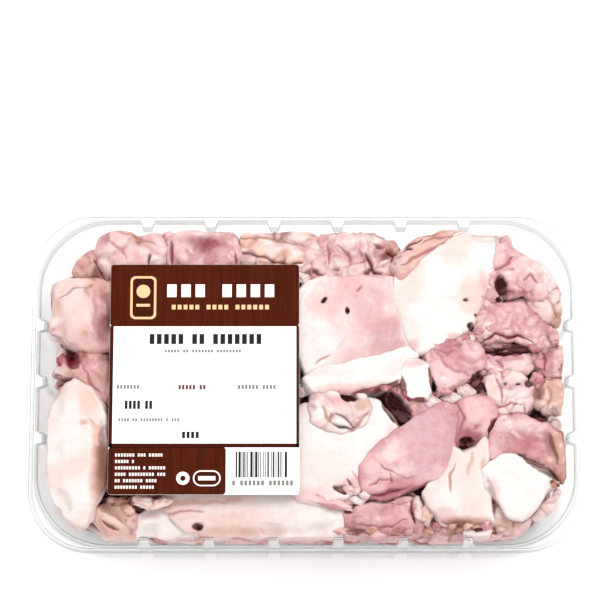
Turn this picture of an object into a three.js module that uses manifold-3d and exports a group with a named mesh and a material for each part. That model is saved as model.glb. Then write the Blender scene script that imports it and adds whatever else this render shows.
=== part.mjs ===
// Raw veal snout, cut in pieces and packed in a clear rectangular tray under a clear film with a paper label.
// Millimetres, +Z up, long side along X, front towards -Y, origin under the middle of the tray's base.
import * as THREE from 'three';
import { mergeVertices } from 'three/addons/utils/BufferGeometryUtils.js';
import Module from 'manifold-3d';

const wasm = await Module();
wasm.setup();

// Tray
const trayLength = 232;
const trayWidth = 147;
const trayHeight = 40;
const wallThickness = 0.8;
const flangeWidth = 2.6;
const flangeCorner = 26;
const cavityCorner = 30;
const cornerSteps = 6;
const wallLean = 2.4;
const baseFillet = 5;
const lipDrop = 2;
const lipThickness = 0.9;

// Upright ribs that stand into the tray between its flutes
const ribDepth = 3.2;
const ribFoot = 0.8;
const ribMouth = 6;
const ribCrest = 3.4;
const longSideRibs = 6;
const longSidePitch = 27;
const endRibs = 3;
const endPitch = 24.5;

// Film and label
const gap = 0.3;
const filmThickness = 0.4;
const filmInset = 0.5;
const labelWidth = 80;
const labelHeight = 100;
const labelThickness = 0.3;
const labelCorner = 1.5;
const labelCentre = [-42.8, 0.7];

// Meat
const meatClearance = 0.4;
const meatFloor = wallThickness + gap;
const meatCeiling = trayHeight - 0.2;
const cutClearance = 0.45;
const joinTolerance = 0.05;
const restClearance = 0.15;
const fullness = 1.3;
const heapTop = 26;
const smallCutSides = 13;
const reliefLength = 16;

// Same numbers every time from one seed
function seeded(seed) {
  let state = seed * 7919 + 13;
  return () => {
    state = (state * 16807) % 2147483647;
    return state / 2147483647;
  };
}

// A smooth unevenness between -1 and 1 that repeats about every wavelength
function unevenness(seed, wavelength) {
  const draw = seeded(seed);
  const waves = [];
  for (let i = 0; i < 4; i += 1) {
    const turn = draw() * 2 * Math.PI;
    const rise = (draw() - 0.5) * Math.PI;
    const step = (2 * Math.PI) / (wavelength * (0.7 + 0.6 * draw()));
    const heading = new THREE.Vector3(1, 0, 0).applyEuler(new THREE.Euler(0, rise, turn, 'ZYX'));
    waves.push({ heading: heading.multiplyScalar(step), phase: draw() * 2 * Math.PI });
  }
  const level = (wave, point) => Math.sin(wave.heading.dot(point) + wave.phase);
  return (point) => waves.reduce((sum, wave) => sum + level(wave, point), 0) / waves.length;
}

// Joins rings of equal count into one closed skin, from an underside that faces down to a top that faces up.
// The two ends are closed by the fewest triangles, or by a fan round a middle point.
function loft(rings, fan = false) {
  const count = rings[0].length;
  const points = rings.flat();
  const triangles = [];
  for (let ring = 0; ring + 1 < rings.length; ring += 1) {
    for (let i = 0; i < count; i += 1) {
      const here = ring * count + i;
      const next = ring * count + ((i + 1) % count);
      triangles.push(here, next, next + count, here, next + count, here + count);
    }
  }
  const close = (ring, first, facesUp) => {
    const flat = ring.map((point) => new THREE.Vector2(point.x, point.y));
    let faces = THREE.ShapeUtils.triangulateShape(flat, []);
    const turned = faces.reduce((sum, face) => sum + THREE.ShapeUtils.area(face.map((i) => flat[i])), 0);
    let turnsLeft = turned > 0;
    if (fan) {
      const middle = ring.reduce((sum, point) => sum.add(point), new THREE.Vector3()).divideScalar(count);
      points.push(middle);
      faces = ring.map((_, i) => [i, (i + 1) % count, points.length - 1 - first]);
      turnsLeft = true;
    }
    for (const [a, b, c] of faces) {
      const corners = turnsLeft === facesUp ? [a, b, c] : [a, c, b];
      triangles.push(...corners.map((corner) => corner + first));
    }
  };
  close(rings[0], 0, false);
  close(rings[rings.length - 1], (rings.length - 1) * count, true);
  const geometry = new THREE.BufferGeometry();
  const positions = points.flatMap((point) => [point.x, point.y, point.z]);
  geometry.setAttribute('position', new THREE.Float32BufferAttribute(positions, 3));
  geometry.setIndex(triangles);
  return geometry;
}

function toSolid(geometry) {
  const bare = geometry.clone();
  bare.deleteAttribute('normal');
  bare.deleteAttribute('uv');
  const merged = mergeVertices(bare, 1e-4);
  return new wasm.Manifold(new wasm.Mesh({
    numProp: 3,
    tolerance: joinTolerance,
    vertProperties: merged.attributes.position.array,
    triVerts: Uint32Array.from(merged.index.array),
  }));
}

function toGeometry(solid) {
  const mesh = solid.getMesh();
  const geometry = new THREE.BufferGeometry();
  geometry.setAttribute('position', new THREE.BufferAttribute(Float32Array.from(mesh.vertProperties), 3));
  geometry.setIndex(Array.from(mesh.triVerts));
  geometry.computeVertexNormals();
  return geometry;
}

// Keeps the largest body of a solid, so that loose scraps and sealed hollows are dropped
function largestBody(solid) {
  return solid.decompose().reduce((best, body) => (body.volume() > best.volume() ? body : best));
}

// A rounded rectangle with upright ribs pressed into its sides, turning left as seen from above
function ribbedRing({ inset, z, rib, corner }) {
  const halfLength = trayLength / 2 - inset;
  const halfWidth = trayWidth / 2 - inset;
  const longSide = { run: halfLength, out: halfWidth, ribs: longSideRibs, pitch: longSidePitch };
  const endSide = { run: halfWidth, out: halfLength, ribs: endRibs, pitch: endPitch };
  const points = [];
  [longSide, endSide, longSide, endSide].forEach((side, index) => {
    const turn = (index * Math.PI) / 2;
    const place = (along, out) => points.push(new THREE.Vector3(
      along * Math.cos(turn) + out * Math.sin(turn),
      along * Math.sin(turn) - out * Math.cos(turn),
      z,
    ));
    for (let i = 0; i < side.ribs; i += 1) {
      const centre = (i - (side.ribs - 1) / 2) * side.pitch;
      place(centre - ribMouth / 2, side.out);
      place(centre - ribCrest / 2, side.out - rib);
      place(centre + ribCrest / 2, side.out - rib);
      place(centre + ribMouth / 2, side.out);
    }
    for (let step = 0; step <= cornerSteps; step += 1) {
      const angle = (step / cornerSteps) * (Math.PI / 2);
      place(side.run - corner + corner * Math.sin(angle), side.out - corner + corner * Math.cos(angle));
    }
  });
  return points;
}

// A plain rounded rectangle, turning left as seen from above
function plainRing({ length, width, corner, z, steps = 6, centre = [0, 0] }) {
  const points = [];
  for (let quarter = 0; quarter < 4; quarter += 1) {
    const sideX = quarter === 0 || quarter === 3 ? 1 : -1;
    const sideY = quarter < 2 ? 1 : -1;
    for (let step = 0; step <= steps; step += 1) {
      const angle = (quarter + step / steps) * (Math.PI / 2);
      points.push(new THREE.Vector3(
        centre[0] + sideX * (length / 2 - corner) + corner * Math.cos(angle),
        centre[1] + sideY * (width / 2 - corner) + corner * Math.sin(angle),
        z,
      ));
    }
  }
  return points;
}

// The wall leans in towards the base
function wallInset(z) {
  return flangeWidth + (wallLean * (trayHeight - z)) / trayHeight;
}

// One closed sheet: down the outside from the base's middle, over the flange, and down the inside
function trayGeometry() {
  const foot = wallInset(0) + baseFillet;
  const onFillet = wallInset(baseFillet);
  const diagonal = baseFillet * (1 - Math.SQRT1_2);
  const outsideCorner = cavityCorner - diagonal;
  const insideFillet = baseFillet - wallThickness;
  const underFlange = trayHeight - wallThickness;
  return loft([
    ribbedRing({ inset: foot, z: 0, rib: ribFoot, corner: cavityCorner - baseFillet }),
    ribbedRing({ inset: wallInset(0) + diagonal, z: diagonal, rib: ribDepth / 2, corner: outsideCorner }),
    ribbedRing({ inset: onFillet, z: baseFillet, rib: ribDepth, corner: cavityCorner }),
    ribbedRing({ inset: flangeWidth, z: underFlange, rib: ribDepth, corner: cavityCorner }),
    ribbedRing({ inset: lipThickness, z: underFlange, rib: 0, corner: flangeCorner - lipThickness }),
    ribbedRing({ inset: lipThickness, z: trayHeight - lipDrop, rib: 0, corner: flangeCorner - lipThickness }),
    ribbedRing({ inset: 0, z: trayHeight - lipDrop, rib: 0, corner: flangeCorner }),
    ribbedRing({ inset: 0, z: trayHeight, rib: 0, corner: flangeCorner }),
    ribbedRing({ inset: flangeWidth + wallThickness, z: trayHeight, rib: ribDepth, corner: cavityCorner }),
    ribbedRing({ inset: onFillet + wallThickness, z: baseFillet, rib: ribDepth, corner: cavityCorner }),
    ribbedRing({
      inset: wallInset(0) + wallThickness + insideFillet * (1 - Math.SQRT1_2),
      z: wallThickness + insideFillet * (1 - Math.SQRT1_2),
      rib: ribDepth / 2,
      corner: outsideCorner,
    }),
    ribbedRing({ inset: foot, z: wallThickness, rib: ribFoot, corner: cavityCorner - baseFillet }),
  ], true);
}

function filmGeometry() {
  const sheet = {
    length: trayLength - 2 * filmInset,
    width: trayWidth - 2 * filmInset,
    corner: flangeCorner - filmInset,
  };
  const underside = trayHeight + gap;
  return loft([plainRing({ ...sheet, z: underside }), plainRing({ ...sheet, z: underside + filmThickness })]);
}

function labelGeometry() {
  const size = { length: labelWidth, width: labelHeight, corner: labelCorner };
  const paper = { ...size, centre: labelCentre, steps: 3 };
  const underside = trayHeight + gap + filmThickness + gap;
  const face = underside + labelThickness;
  return loft([plainRing({ ...paper, z: underside }), plainRing({ ...paper, z: face })]);
}

// The room that the meat may fill, clear of the ribs, the base and the film
function cavitySolid() {
  const room = (z, extra) => {
    const inset = wallInset(z) + wallThickness + ribDepth + meatClearance + extra;
    return plainRing({
      length: trayLength - 2 * inset,
      width: trayWidth - 2 * inset,
      corner: cavityCorner - ribDepth - extra,
      z,
    });
  };
  return toSolid(loft([room(meatFloor, baseFillet), room(meatFloor + baseFillet, 0), room(meatCeiling, 0)]));
}

// The point of a route of straight runs that lies nearest to a point
function nearestOnRoute(point, route) {
  const nearest = new THREE.Vector3();
  let least = Infinity;
  for (let i = 0; i + 1 < route.length; i += 1) {
    const run = new THREE.Line3(route[i], route[i + 1]);
    const foot = run.closestPointToPoint(point, true, new THREE.Vector3());
    const distance = foot.distanceTo(point);
    if (distance < least) {
      least = distance;
      nearest.copy(foot);
    }
  }
  return nearest;
}

const flatPoint = ([x, y]) => new THREE.Vector3(x, y, 0);

// A cut of meat lying flat: its outline seen from above, its level, how wide its edge is rounded and how its
// face swells towards the middle line. It bulges past its outline, so that neighbours press on each other.
// With grow it is that much larger all over.
function meatSlab(cut, grow = 0) {
  const { outline, middle, top, bottom = heapTop + gap, lean = [0, 0] } = cut;
  const { sides, edge, crown, ripple, seed } = cut;
  const curve = new THREE.CatmullRomCurve3(outline.map(flatPoint), true, 'centripetal');
  const route = middle.map(flatPoint);
  const wobble = unevenness(seed, reliefLength);
  const rim = curve.getSpacedPoints(sides).slice(0, sides);
  if (THREE.ShapeUtils.isClockWise(rim)) {
    rim.reverse();
  }
  const centre = outline.map(flatPoint).reduce((sum, point) => sum.add(point)).divideScalar(outline.length);
  const shoulder = Math.min(edge, 0.5 * (top - bottom));
  const ring = (inset, share, z, onTop) => rim.map((start) => {
    const inward = nearestOnRoute(start, route).sub(start);
    const reach = inward.length();
    const travel = Math.max(Math.min(inset, 0.6 * reach), share * reach);
    const point = start.clone().addScaledVector(inward.normalize(), travel - (grow + fullness) * (1 - share));
    const depth = travel / reach;
    if (onTop) {
      const swell = crown * (1 - (1 - depth) ** 2);
      const relief = share === 0 ? ripple * wobble(point) : 0;
      const tilt = lean[0] * (point.x - centre.x) + lean[1] * (point.y - centre.y);
      point.z = swell + relief + tilt;
    }
    point.z += z;
    return point;
  });
  const underside = ring(0.4 * edge, 0, bottom - Math.min(grow, restClearance), false);
  const side = ring(0, 0, top - shoulder, false);
  const roundedEdge = sides > smallCutSides ? [ring(0.3 * edge, 0, top - 0.3 * shoulder + grow, true)] : [];
  const face = [ring(edge, 0, top + grow, true), ring(edge, 0.62, top + grow, true)];
  return toSolid(loft([underside, side, ...roundedEdge, ...face]));
}

// A small scrap: an uneven lump
function scrap({ centre, size, turn, seed }, grow = 0) {
  const geometry = new THREE.IcosahedronGeometry(1, 0);
  const wobble = unevenness(seed, 1.6);
  const position = geometry.attributes.position;
  const point = new THREE.Vector3();
  for (let i = 0; i < position.count; i += 1) {
    point.fromBufferAttribute(position, i);
    point.multiplyScalar(1 + 0.22 * wobble(point));
    point.multiply(new THREE.Vector3(...size.map((half) => half + grow)));
    position.setXYZ(i, point.x, point.y, point.z);
  }
  geometry.rotateZ(turn);
  geometry.translate(...centre);
  return toSolid(geometry);
}

// Cuts that lie in the tray, the topmost first: each one is pressed into those that follow it
const cuts = {
  skin_roll: {
    outline: [[37, 50], [43, 58], [53, 67], [67, 70.5], [84, 70], [82, 67.5], [68, 67], [55, 59.5],
      [47, 52], [41, 45]],
    middle: [[41, 51], [49, 58], [60, 63], [80, 66]],
    top: 39.2, sides: 19, edge: 3, crown: 0.5, ripple: 0.3, seed: 11, colour: 0xd9b3a0,
  },
  white_cube: {
    outline: [[43.5, 8.5], [50, 7.5], [52.5, -1], [50, -7], [42, -4], [41.5, 2]],
    middle: [[46.5, 3], [47, -1]],
    top: 39.4, sides: 12, edge: 2, crown: 0.4, ripple: 0.2, seed: 12, colour: 0xfdf6ee,
  },
  curled_scrap: {
    outline: [[3, -6], [14, -5], [25, -8], [25.5, -15], [17, -20], [5, -18]],
    middle: [[9, -12], [19, -13]],
    top: 38.6, sides: 12, edge: 2, crown: 0.8, ripple: 0.7, seed: 13, colour: 0xf3d9cc,
  },
  white_skin_slab: {
    outline: [[38, 38], [38.5, 46], [45, 53], [57, 60], [70, 66], [82, 67], [80, 54], [75, 38], [69, 25],
      [58, 17], [46, 13.5], [41, 26]],
    middle: [[49, 27], [56, 40], [69, 52]],
    top: 38.2, sides: 23, edge: 3.5, crown: 1.2, ripple: 0.4, seed: 14, colour: 0xfbf0e6,
  },
  cut_face_skin: {
    outline: [[0, 1], [9, 5], [26, 9.5], [46, 14], [45, 8], [39, 1.5], [31, -2.5], [19, -5], [5, -5]],
    middle: [[7, -0.5], [21, 2], [38, 7.5]],
    top: 39, sides: 19, edge: 3, crown: 0.4, ripple: 0.2, lean: [0, -0.06], seed: 15, colour: 0xfaf0ea,
  },
  cut_face_muscle: {
    outline: [[-4, 37], [5, 45], [17, 45], [36, 45.5], [41, 37], [43, 26], [46, 14], [31, 11], [17, 6.5],
      [3, 2.5], [-3, 14]],
    middle: [[9, 21], [18, 29], [29, 28]],
    top: 37.6, sides: 22, edge: 3, crown: 1, ripple: 0.6, lean: [0, 0.02], seed: 16, colour: 0xeec2c2,
  },
  rose_slab: {
    outline: [[59, -9], [49, -15], [39, -22], [30, -29], [23, -40], [27, -50], [38, -47], [48, -43],
      [58, -40], [61, -33], [62, -25], [64, -11]],
    middle: [[56, -21], [45, -31], [33, -41]],
    top: 37.6, sides: 20, edge: 3, crown: 1, ripple: 0.6, seed: 17, colour: 0xdda0a2,
  },
  lobed_muscle: {
    outline: [[64, -9], [72, -5.5], [78.5, -8], [80, -16], [76, -23], [69, -27], [63, -25], [61.5, -16]],
    middle: [[69, -12], [71, -20]],
    top: 38, sides: 14, edge: 5, crown: 1.6, ripple: 0.5, seed: 18, colour: 0xd99296,
  },
  white_block: {
    outline: [[74, -39], [84, -32], [97, -37.5], [105.5, -42], [96, -52], [92, -58], [87, -58], [83, -52],
      [76, -46]],
    middle: [[84, -42], [91, -47]],
    top: 38.8, sides: 16, edge: 3, crown: 0.4, ripple: 0.2, seed: 19, colour: 0xfdf8f3,
  },
  forked_slab: {
    outline: [[61, -27], [68, -32], [76, -23], [74.5, -37], [75.5, -47], [77, -65], [65, -64.5], [54, -56],
      [50, -47], [58, -40]],
    middle: [[68, -37], [66, -46], [65, -52]],
    top: 38, sides: 19, edge: 3, crown: 0.8, ripple: 0.4, lean: [0, 0.05], seed: 20, colour: 0xf9ece2,
  },
  brown_end_slab: {
    outline: [[80, -15], [88, -14.5], [99, -18.5], [110, -23], [115, -32], [113, -41], [108, -42.5],
      [97, -37], [87, -31], [75, -35], [77, -25]],
    middle: [[83, -23], [94, -25.5], [104, -34]],
    top: 37.4, sides: 19, edge: 4.5, crown: 1.2, ripple: 0.5, seed: 21, colour: 0xcf9a92,
  },
  round_muscle: {
    outline: [[52, 13.5], [59, 19], [68, 19.5], [74, 14], [73, 6], [65, 0.5], [56, -3.5], [49, -2],
      [48, 6]],
    middle: [[57, 9], [64, 10]],
    top: 37.6, sides: 16, edge: 4.5, crown: 1.5, ripple: 0.5, seed: 22, colour: 0xdc9497,
  },
  lobed_cheek: {
    outline: [[74, 54], [77, 61], [85, 65], [91, 57], [99, 53], [106, 44], [99, 36], [91, 41], [84, 37],
      [75, 37], [73, 45]],
    middle: [[80, 53], [82, 46], [92, 48]],
    top: 37.6, sides: 17, edge: 4.5, crown: 1.4, ripple: 0.8, seed: 23, colour: 0xe2a3a5,
  },
  gland_cluster: {
    outline: [[63, 28], [73, 37], [82, 34], [92, 34.5], [100, 27], [111, 20], [100, 15], [89, 16],
      [76, 19], [66, 20.5]],
    middle: [[72, 27], [84, 25], [96, 22]],
    top: 35.6, sides: 17, edge: 4.5, crown: 1.6, ripple: 1.2, seed: 24, colour: 0xdf9fa0,
  },
  fat_nub: {
    outline: [[97, 40], [107, 43], [112, 39], [112, 31], [107, 26.5], [98, 28], [95.5, 34]],
    middle: [[102, 38], [102, 32]],
    top: 36, sides: 11, edge: 5, crown: 1.2, ripple: 0.4, seed: 25, colour: 0xeac4a3,
  },
  folded_cream: {
    outline: [[73, -3], [78, 2], [87, 4], [94, 0], [95, -8], [90, -14], [81, -13.5], [74, -10]],
    middle: [[80, -5], [88, -6]],
    top: 36.6, sides: 14, edge: 4, crown: 1, ripple: 1, seed: 26, colour: 0xeed3cb,
  },
  pale_strip: {
    outline: [[73, 10], [80, 13.5], [91, 13.5], [96, 9], [92, 5], [81, 4], [74, 5]],
    middle: [[79, 9], [90, 9]],
    top: 35, sides: 12, edge: 4, crown: 0.8, ripple: 0.5, seed: 27, colour: 0xe9bfbd,
  },
  small_fat_nub: {
    outline: [[98, 0], [108, 2], [113, -1], [113, -8], [107, -12], [98.5, -9]],
    middle: [[103, -2], [104, -7]],
    top: 35, sides: 11, edge: 4.5, crown: 1, ripple: 0.5, seed: 28, colour: 0xe6bb9a,
  },
  edge_muscle: {
    outline: [[97, 17], [107, 19.5], [113, 16], [113, 7], [107, 3.5], [97.5, 8]],
    middle: [[103, 14], [103, 9]],
    top: 33.5, sides: 11, edge: 5, crown: 1, ripple: 0.6, seed: 29, colour: 0xc98082,
  },
  muscle_wedge: {
    outline: [[36, 1], [45, -2], [57, -8], [59, -12], [49, -16], [40, -14], [34, -7]],
    middle: [[42, -7], [51, -10]],
    top: 35.4, sides: 12, edge: 3.5, crown: 0.8, ripple: 0.6, seed: 30, colour: 0xdd9fa0,
  },
  low_white_slab: {
    outline: [[-6, -14], [2, -9], [14, -6], [29, -8.5], [38, -16], [39.5, -23], [32, -31], [24, -44],
      [10, -51], [-4, -49]],
    middle: [[6, -22], [14, -33]],
    top: 36.2, sides: 20, edge: 4.5, crown: 1.6, ripple: 0.4, seed: 31, colour: 0xfaf1ea,
  },
  left_cream_block: {
    outline: [[-107, 43], [-94, 44.5], [-82, 42.5], [-79, 32], [-80, 18], [-89, 14], [-99, 17], [-111, 24],
      [-110, 35]],
    middle: [[-94, 35], [-92, 24]],
    top: 38.4, sides: 17, edge: 4.5, crown: 1, ripple: 0.4, seed: 32, colour: 0xf0d5bf,
  },
  left_skin_slab: {
    outline: [[-97, 1], [-91, -3], [-86, -10], [-83.5, -21], [-84, -38], [-88, -52], [-94, -64],
      [-106, -57], [-111, -44], [-112, -29], [-110, -14], [-105, -4]],
    middle: [[-96, -13], [-96, -30], [-96, -47]],
    top: 37.6, sides: 20, edge: 6, crown: 1.2, ripple: 0.4, seed: 33, colour: 0xf8eadd,
  },
  left_muscle: {
    outline: [[-94, 16], [-86, 15], [-79, 13], [-78, 3], [-80, -7], [-88, -7], [-95, 2], [-106, 4],
      [-105, 10]],
    middle: [[-92, 9], [-86, 3]],
    top: 35.6, sides: 14, edge: 5, crown: 1, ripple: 0.5, seed: 34, colour: 0xd28f85,
  },
  back_left_muscle: {
    outline: [[-89, 58], [-86, 68], [-80, 71], [-70, 70.5], [-63, 67], [-59, 57], [-62, 49], [-79, 48],
      [-87, 51]],
    middle: [[-80, 58], [-68, 57]],
    top: 37, sides: 16, edge: 6.5, crown: 1.4, ripple: 0.5, seed: 35, colour: 0xdcaeb0,
  },
  back_red_muscle: {
    outline: [[-60, 66], [-55, 71], [-45, 71.5], [-34, 69], [-28, 60], [-28, 50], [-57, 50]],
    middle: [[-50, 59], [-37, 58]],
    top: 37, sides: 16, edge: 6, crown: 1, ripple: 0.7, seed: 36, colour: 0xc67678,
  },
  back_tan_fold: {
    outline: [[-27, 67], [-19, 70], [-6, 69], [4, 66], [4, 52], [-7, 49], [-27, 50]],
    middle: [[-18, 58], [-5, 57]],
    top: 36.4, sides: 14, edge: 5, crown: 0.8, ripple: 1, seed: 37, colour: 0xe6bfae,
  },
  back_crumpled_muscle: {
    outline: [[6, 65], [17, 69], [28, 68.5], [38, 61], [40, 52], [35, 44], [19, 43], [4, 45], [1, 53]],
    middle: [[14, 55], [28, 54]],
    top: 36.4, sides: 16, edge: 5, crown: 0.8, ripple: 1.3, seed: 38, colour: 0xcf8d88,
  },
  left_brown_flap: {
    outline: [[-98, 53], [-94, 58], [-88, 59.5], [-82, 55], [-80, 47], [-85, 43], [-91, 46], [-97, 48]],
    middle: [[-92, 52], [-86, 50]],
    top: 34, sides: 12, edge: 5, crown: 0.8, ripple: 0.8, seed: 39, colour: 0xb5746c,
  },
  front_white_bit: {
    outline: [[-71, -58], [-66, -54], [-56, -53.5], [-46, -56], [-45, -69], [-58, -72], [-68, -70]],
    middle: [[-64, -60], [-52, -60]],
    top: 31, sides: 12, edge: 5, crown: 0.8, ripple: 0.3, seed: 40, colour: 0xfdf7f2,
  },
  front_long_slab: {
    outline: [[-62, -50], [-50, -45], [-30, -43], [-10, -43], [7, -44], [15, -54], [14, -68], [-3, -72],
      [-28, -72], [-44, -70]],
    middle: [[-44, -54], [-18, -55], [4, -55]],
    top: 33.2, sides: 22, edge: 6.5, crown: 1.2, ripple: 0.5, seed: 41, colour: 0xf0d8cf,
  },
  front_lens_muscle: {
    outline: [[13, -54], [20, -48], [31, -45], [44, -47.5], [49, -54], [46, -66], [31, -70], [18, -68]],
    middle: [[22, -55], [40, -55]],
    top: 33, sides: 16, edge: 6.5, crown: 1.6, ripple: 0.4, seed: 42, colour: 0xdc9c9c,
  },
  peach_strip: {
    outline: [[-92, -52], [-85, -50], [-77, -52], [-71, -57], [-73, -68], [-80, -67], [-88, -58]],
    middle: [[-86, -55], [-77, -58]],
    top: 33, sides: 11, edge: 3.5, crown: 0.8, ripple: 0.4, seed: 43, colour: 0xf0c6a9,
  },
  front_pale_muscle: {
    outline: [[78, -48], [84, -46], [91, -49], [92, -65], [84, -69], [78, -66]],
    middle: [[84.5, -52], [85, -58]],
    top: 33.5, sides: 11, edge: 5.5, crown: 0.8, ripple: 0.5, seed: 44, colour: 0xe6b3aa,
  },
  brown_wedge: {
    outline: [[94, -47], [105, -45], [108, -50], [98, -57], [92, -54]],
    middle: [[97, -50], [98, -53]],
    top: 34, sides: 10, edge: 3, crown: 0.6, ripple: 0.4, seed: 45, colour: 0xb98a66,
  },
};

// The meat that fills the tray under the label
const underLabel = {
  outline: [[-80, 34], [-64, 51], [-30, 51], [-4, 47], [-2, 12], [-3, -12], [-8, -44], [-40, -47],
    [-80, -44], [-84, -10]],
  middle: [[-58, 12], [-32, 12], [-32, -12], [-58, -12]],
  bottom: heapTop - 2, top: 34.5, sides: 16, edge: 5, crown: 1.5, ripple: 0.8, seed: 50,
};

// Places where small scraps show between the cuts: middle, half spread, level of their tops and number
const scrapPatches = [
  { middle: [60, -60], spread: [18, 4], top: 33.5, count: 6, size: 4.8 },
  { middle: [101, -56], spread: [5, 4], top: 31, count: 2, size: 4.4 },
  { middle: [-101, 2], spread: [3, 52], top: 30.5, count: 5, size: 6 },
  { middle: [-40, 63], spread: [42, 2], top: 31, count: 3, size: 5.5 },
  { middle: [44, 41], spread: [4, 9], top: 34.5, count: 2, size: 5 },
  { middle: [88, 27], spread: [14, 9], top: 35, count: 4, size: 5.4 },
  { middle: [66, -3], spread: [8, 5], top: 32, count: 3, size: 5.4 },
  { middle: [105, -8], spread: [2, 36], top: 32, count: 4, size: 5.4 },
  { middle: [-77, -56], spread: [8, 5], top: 31, count: 3, size: 5.4 },
];

// The meat under and between the cuts: one uneven body pressed into the tray
const heapSides = 36;
const heapRelief = unevenness(3, 26);

function heapRing(inset, z, relief) {
  const wallSide = wallInset(z) + wallThickness + ribDepth + meatClearance + inset;
  const outline = plainRing({
    length: trayLength - 2 * wallSide,
    width: trayWidth - 2 * wallSide,
    corner: cavityCorner - ribDepth - 0.6 * inset,
    z,
  });
  const closed = new THREE.CatmullRomCurve3(outline, true, 'centripetal');
  return closed.getSpacedPoints(heapSides).slice(0, heapSides).map((point) => {
    const pressedIn = relief * (1 + heapRelief(point));
    const inward = point.clone().setZ(0).normalize().multiplyScalar(-pressedIn);
    return point.add(inward);
  });
}

function heapSolid(scraps) {
  const core = toSolid(loft([
    heapRing(baseFillet, meatFloor, 0),
    heapRing(0.8, meatFloor + 3, 1),
    heapRing(0, 11, 2),
    heapRing(0, 19, 2),
    heapRing(2, 23.5, 2),
    heapRing(6, heapTop, 1),
  ]));
  const mound = meatSlab(underLabel);
  return scraps.reduce((heap, piece) => heap.add(scrap(piece)), core.add(mound));
}

function scatterScraps() {
  const draw = seeded(21);
  return scrapPatches.flatMap(({ middle, spread, top, count, size }, patch) => (
    Array.from({ length: count }, (_, i) => {
      const across = ((i + 0.5) / count) * 2 - 1;
      const long = spread[0] > spread[1] ? 0 : 1;
      const centre = [0, 0];
      centre[long] = middle[long] + across * spread[long];
      centre[1 - long] = middle[1 - long] + (draw() * 2 - 1) * spread[1 - long];
      const width = size * (0.9 + 0.5 * draw());
      return {
        centre: [...centre, (top + heapTop) / 2 - 1],
        size: [width, width * (0.55 + 0.3 * draw()), (top - heapTop) / 2 + 1.5],
        turn: draw() * Math.PI,
        seed: 100 + 20 * patch + i,
      };
    })
  ));
}

const pack = new THREE.Group();

function addNode(name, geometry, { colour, roughness, metalness = 0, opacity = 1 }) {
  const material = new THREE.MeshStandardMaterial({
    color: colour, roughness, metalness, opacity, transparent: opacity < 1,
  });
  const mesh = new THREE.Mesh(geometry, material);
  mesh.name = name;
  pack.add(mesh);
}

addNode('tray', trayGeometry(), { colour: 0xeef2f3, roughness: 0.1, opacity: 0.25 });
addNode('film', filmGeometry(), { colour: 0xf4f7f8, roughness: 0.08, opacity: 0.15 });
addNode('label', labelGeometry(), { colour: 0x4a1712, roughness: 0.55 });

const cavity = cavitySolid();
const laid = [];
for (const [name, cut] of Object.entries(cuts)) {
  let solid = meatSlab(cut).intersect(cavity);
  for (const above of laid) {
    solid = solid.subtract(above);
  }
  laid.push(meatSlab(cut, cutClearance));
  addNode(`meat_${name}`, toGeometry(largestBody(solid)), { colour: cut.colour, roughness: 0.35 });
}

let heap = heapSolid(scatterScraps()).intersect(cavity);
for (const above of laid) {
  heap = heap.subtract(above);
}
addNode('meat_heap', toGeometry(largestBody(heap)), { colour: 0xd9a19c, roughness: 0.4 });

export default pack;
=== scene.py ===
"""Cut veal snout in a clear ribbed tray with a clear film and a paper label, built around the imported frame.

Millimetres in the tables, metres in the meshes. +Z is up and the front of the tray faces -Y.
"""

import math
import random

import bmesh
import bpy
import numpy as np
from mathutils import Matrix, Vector, kdtree, noise


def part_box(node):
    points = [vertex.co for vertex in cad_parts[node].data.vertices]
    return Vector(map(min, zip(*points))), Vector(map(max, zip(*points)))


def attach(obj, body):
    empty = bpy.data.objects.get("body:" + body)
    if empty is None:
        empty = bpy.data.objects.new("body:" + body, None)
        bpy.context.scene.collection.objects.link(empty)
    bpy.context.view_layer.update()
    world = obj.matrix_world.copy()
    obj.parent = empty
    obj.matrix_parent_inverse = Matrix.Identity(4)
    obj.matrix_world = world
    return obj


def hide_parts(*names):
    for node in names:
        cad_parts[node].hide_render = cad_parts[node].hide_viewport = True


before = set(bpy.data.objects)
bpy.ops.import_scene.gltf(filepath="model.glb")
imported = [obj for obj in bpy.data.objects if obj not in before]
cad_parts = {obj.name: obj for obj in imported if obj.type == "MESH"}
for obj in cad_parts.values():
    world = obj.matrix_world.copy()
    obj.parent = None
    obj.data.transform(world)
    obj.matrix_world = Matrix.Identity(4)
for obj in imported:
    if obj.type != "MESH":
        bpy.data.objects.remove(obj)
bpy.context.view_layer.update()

MM = 0.001


def box_mm(node):
    """Lowest and highest corner of a CAD node, in mm."""
    return [[round(value / MM, 2) for value in corner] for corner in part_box(node)]


# Colours and nodes


def linear(code):
    """Six hex digits of a display colour, as the linear values that a shader takes."""
    shown = [int(code[i : i + 2], 16) / 255 for i in (0, 2, 4)]
    return tuple(c / 12.92 if c <= 0.04045 else ((c + 0.055) / 1.055) ** 2.4 for c in shown)


def rgba(code):
    return (*linear(code), 1.0)


# Raw veal as it looks under a soft lamp, from the palest skin to nearly black red. The darkest tones are
# mostly painted shade in holes, gaps and creases between the cuts, partly dark blood
TONES = {
    "skin": "DCD3D0",
    "cream": "D9C6BF",
    "fat": "E2D2CB",
    "peach": "D3AE9F",
    "pink": "D8B3B1",
    "blush": "C69694",
    "rose": "B88487",
    "mauve": "C79EA3",
    "muscle": "A9686D",
    "crimson": "853640",
    "tan": "B18471",
    "brown": "74453D",
    "umber": "4E231E",
    "maroon": "681419",
    "clot_and_shade": "360205",
}
TONE = {name: np.array(linear(code)) for name, code in TONES.items()}
BLOOD_STAIN = "F8E2E5"


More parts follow.
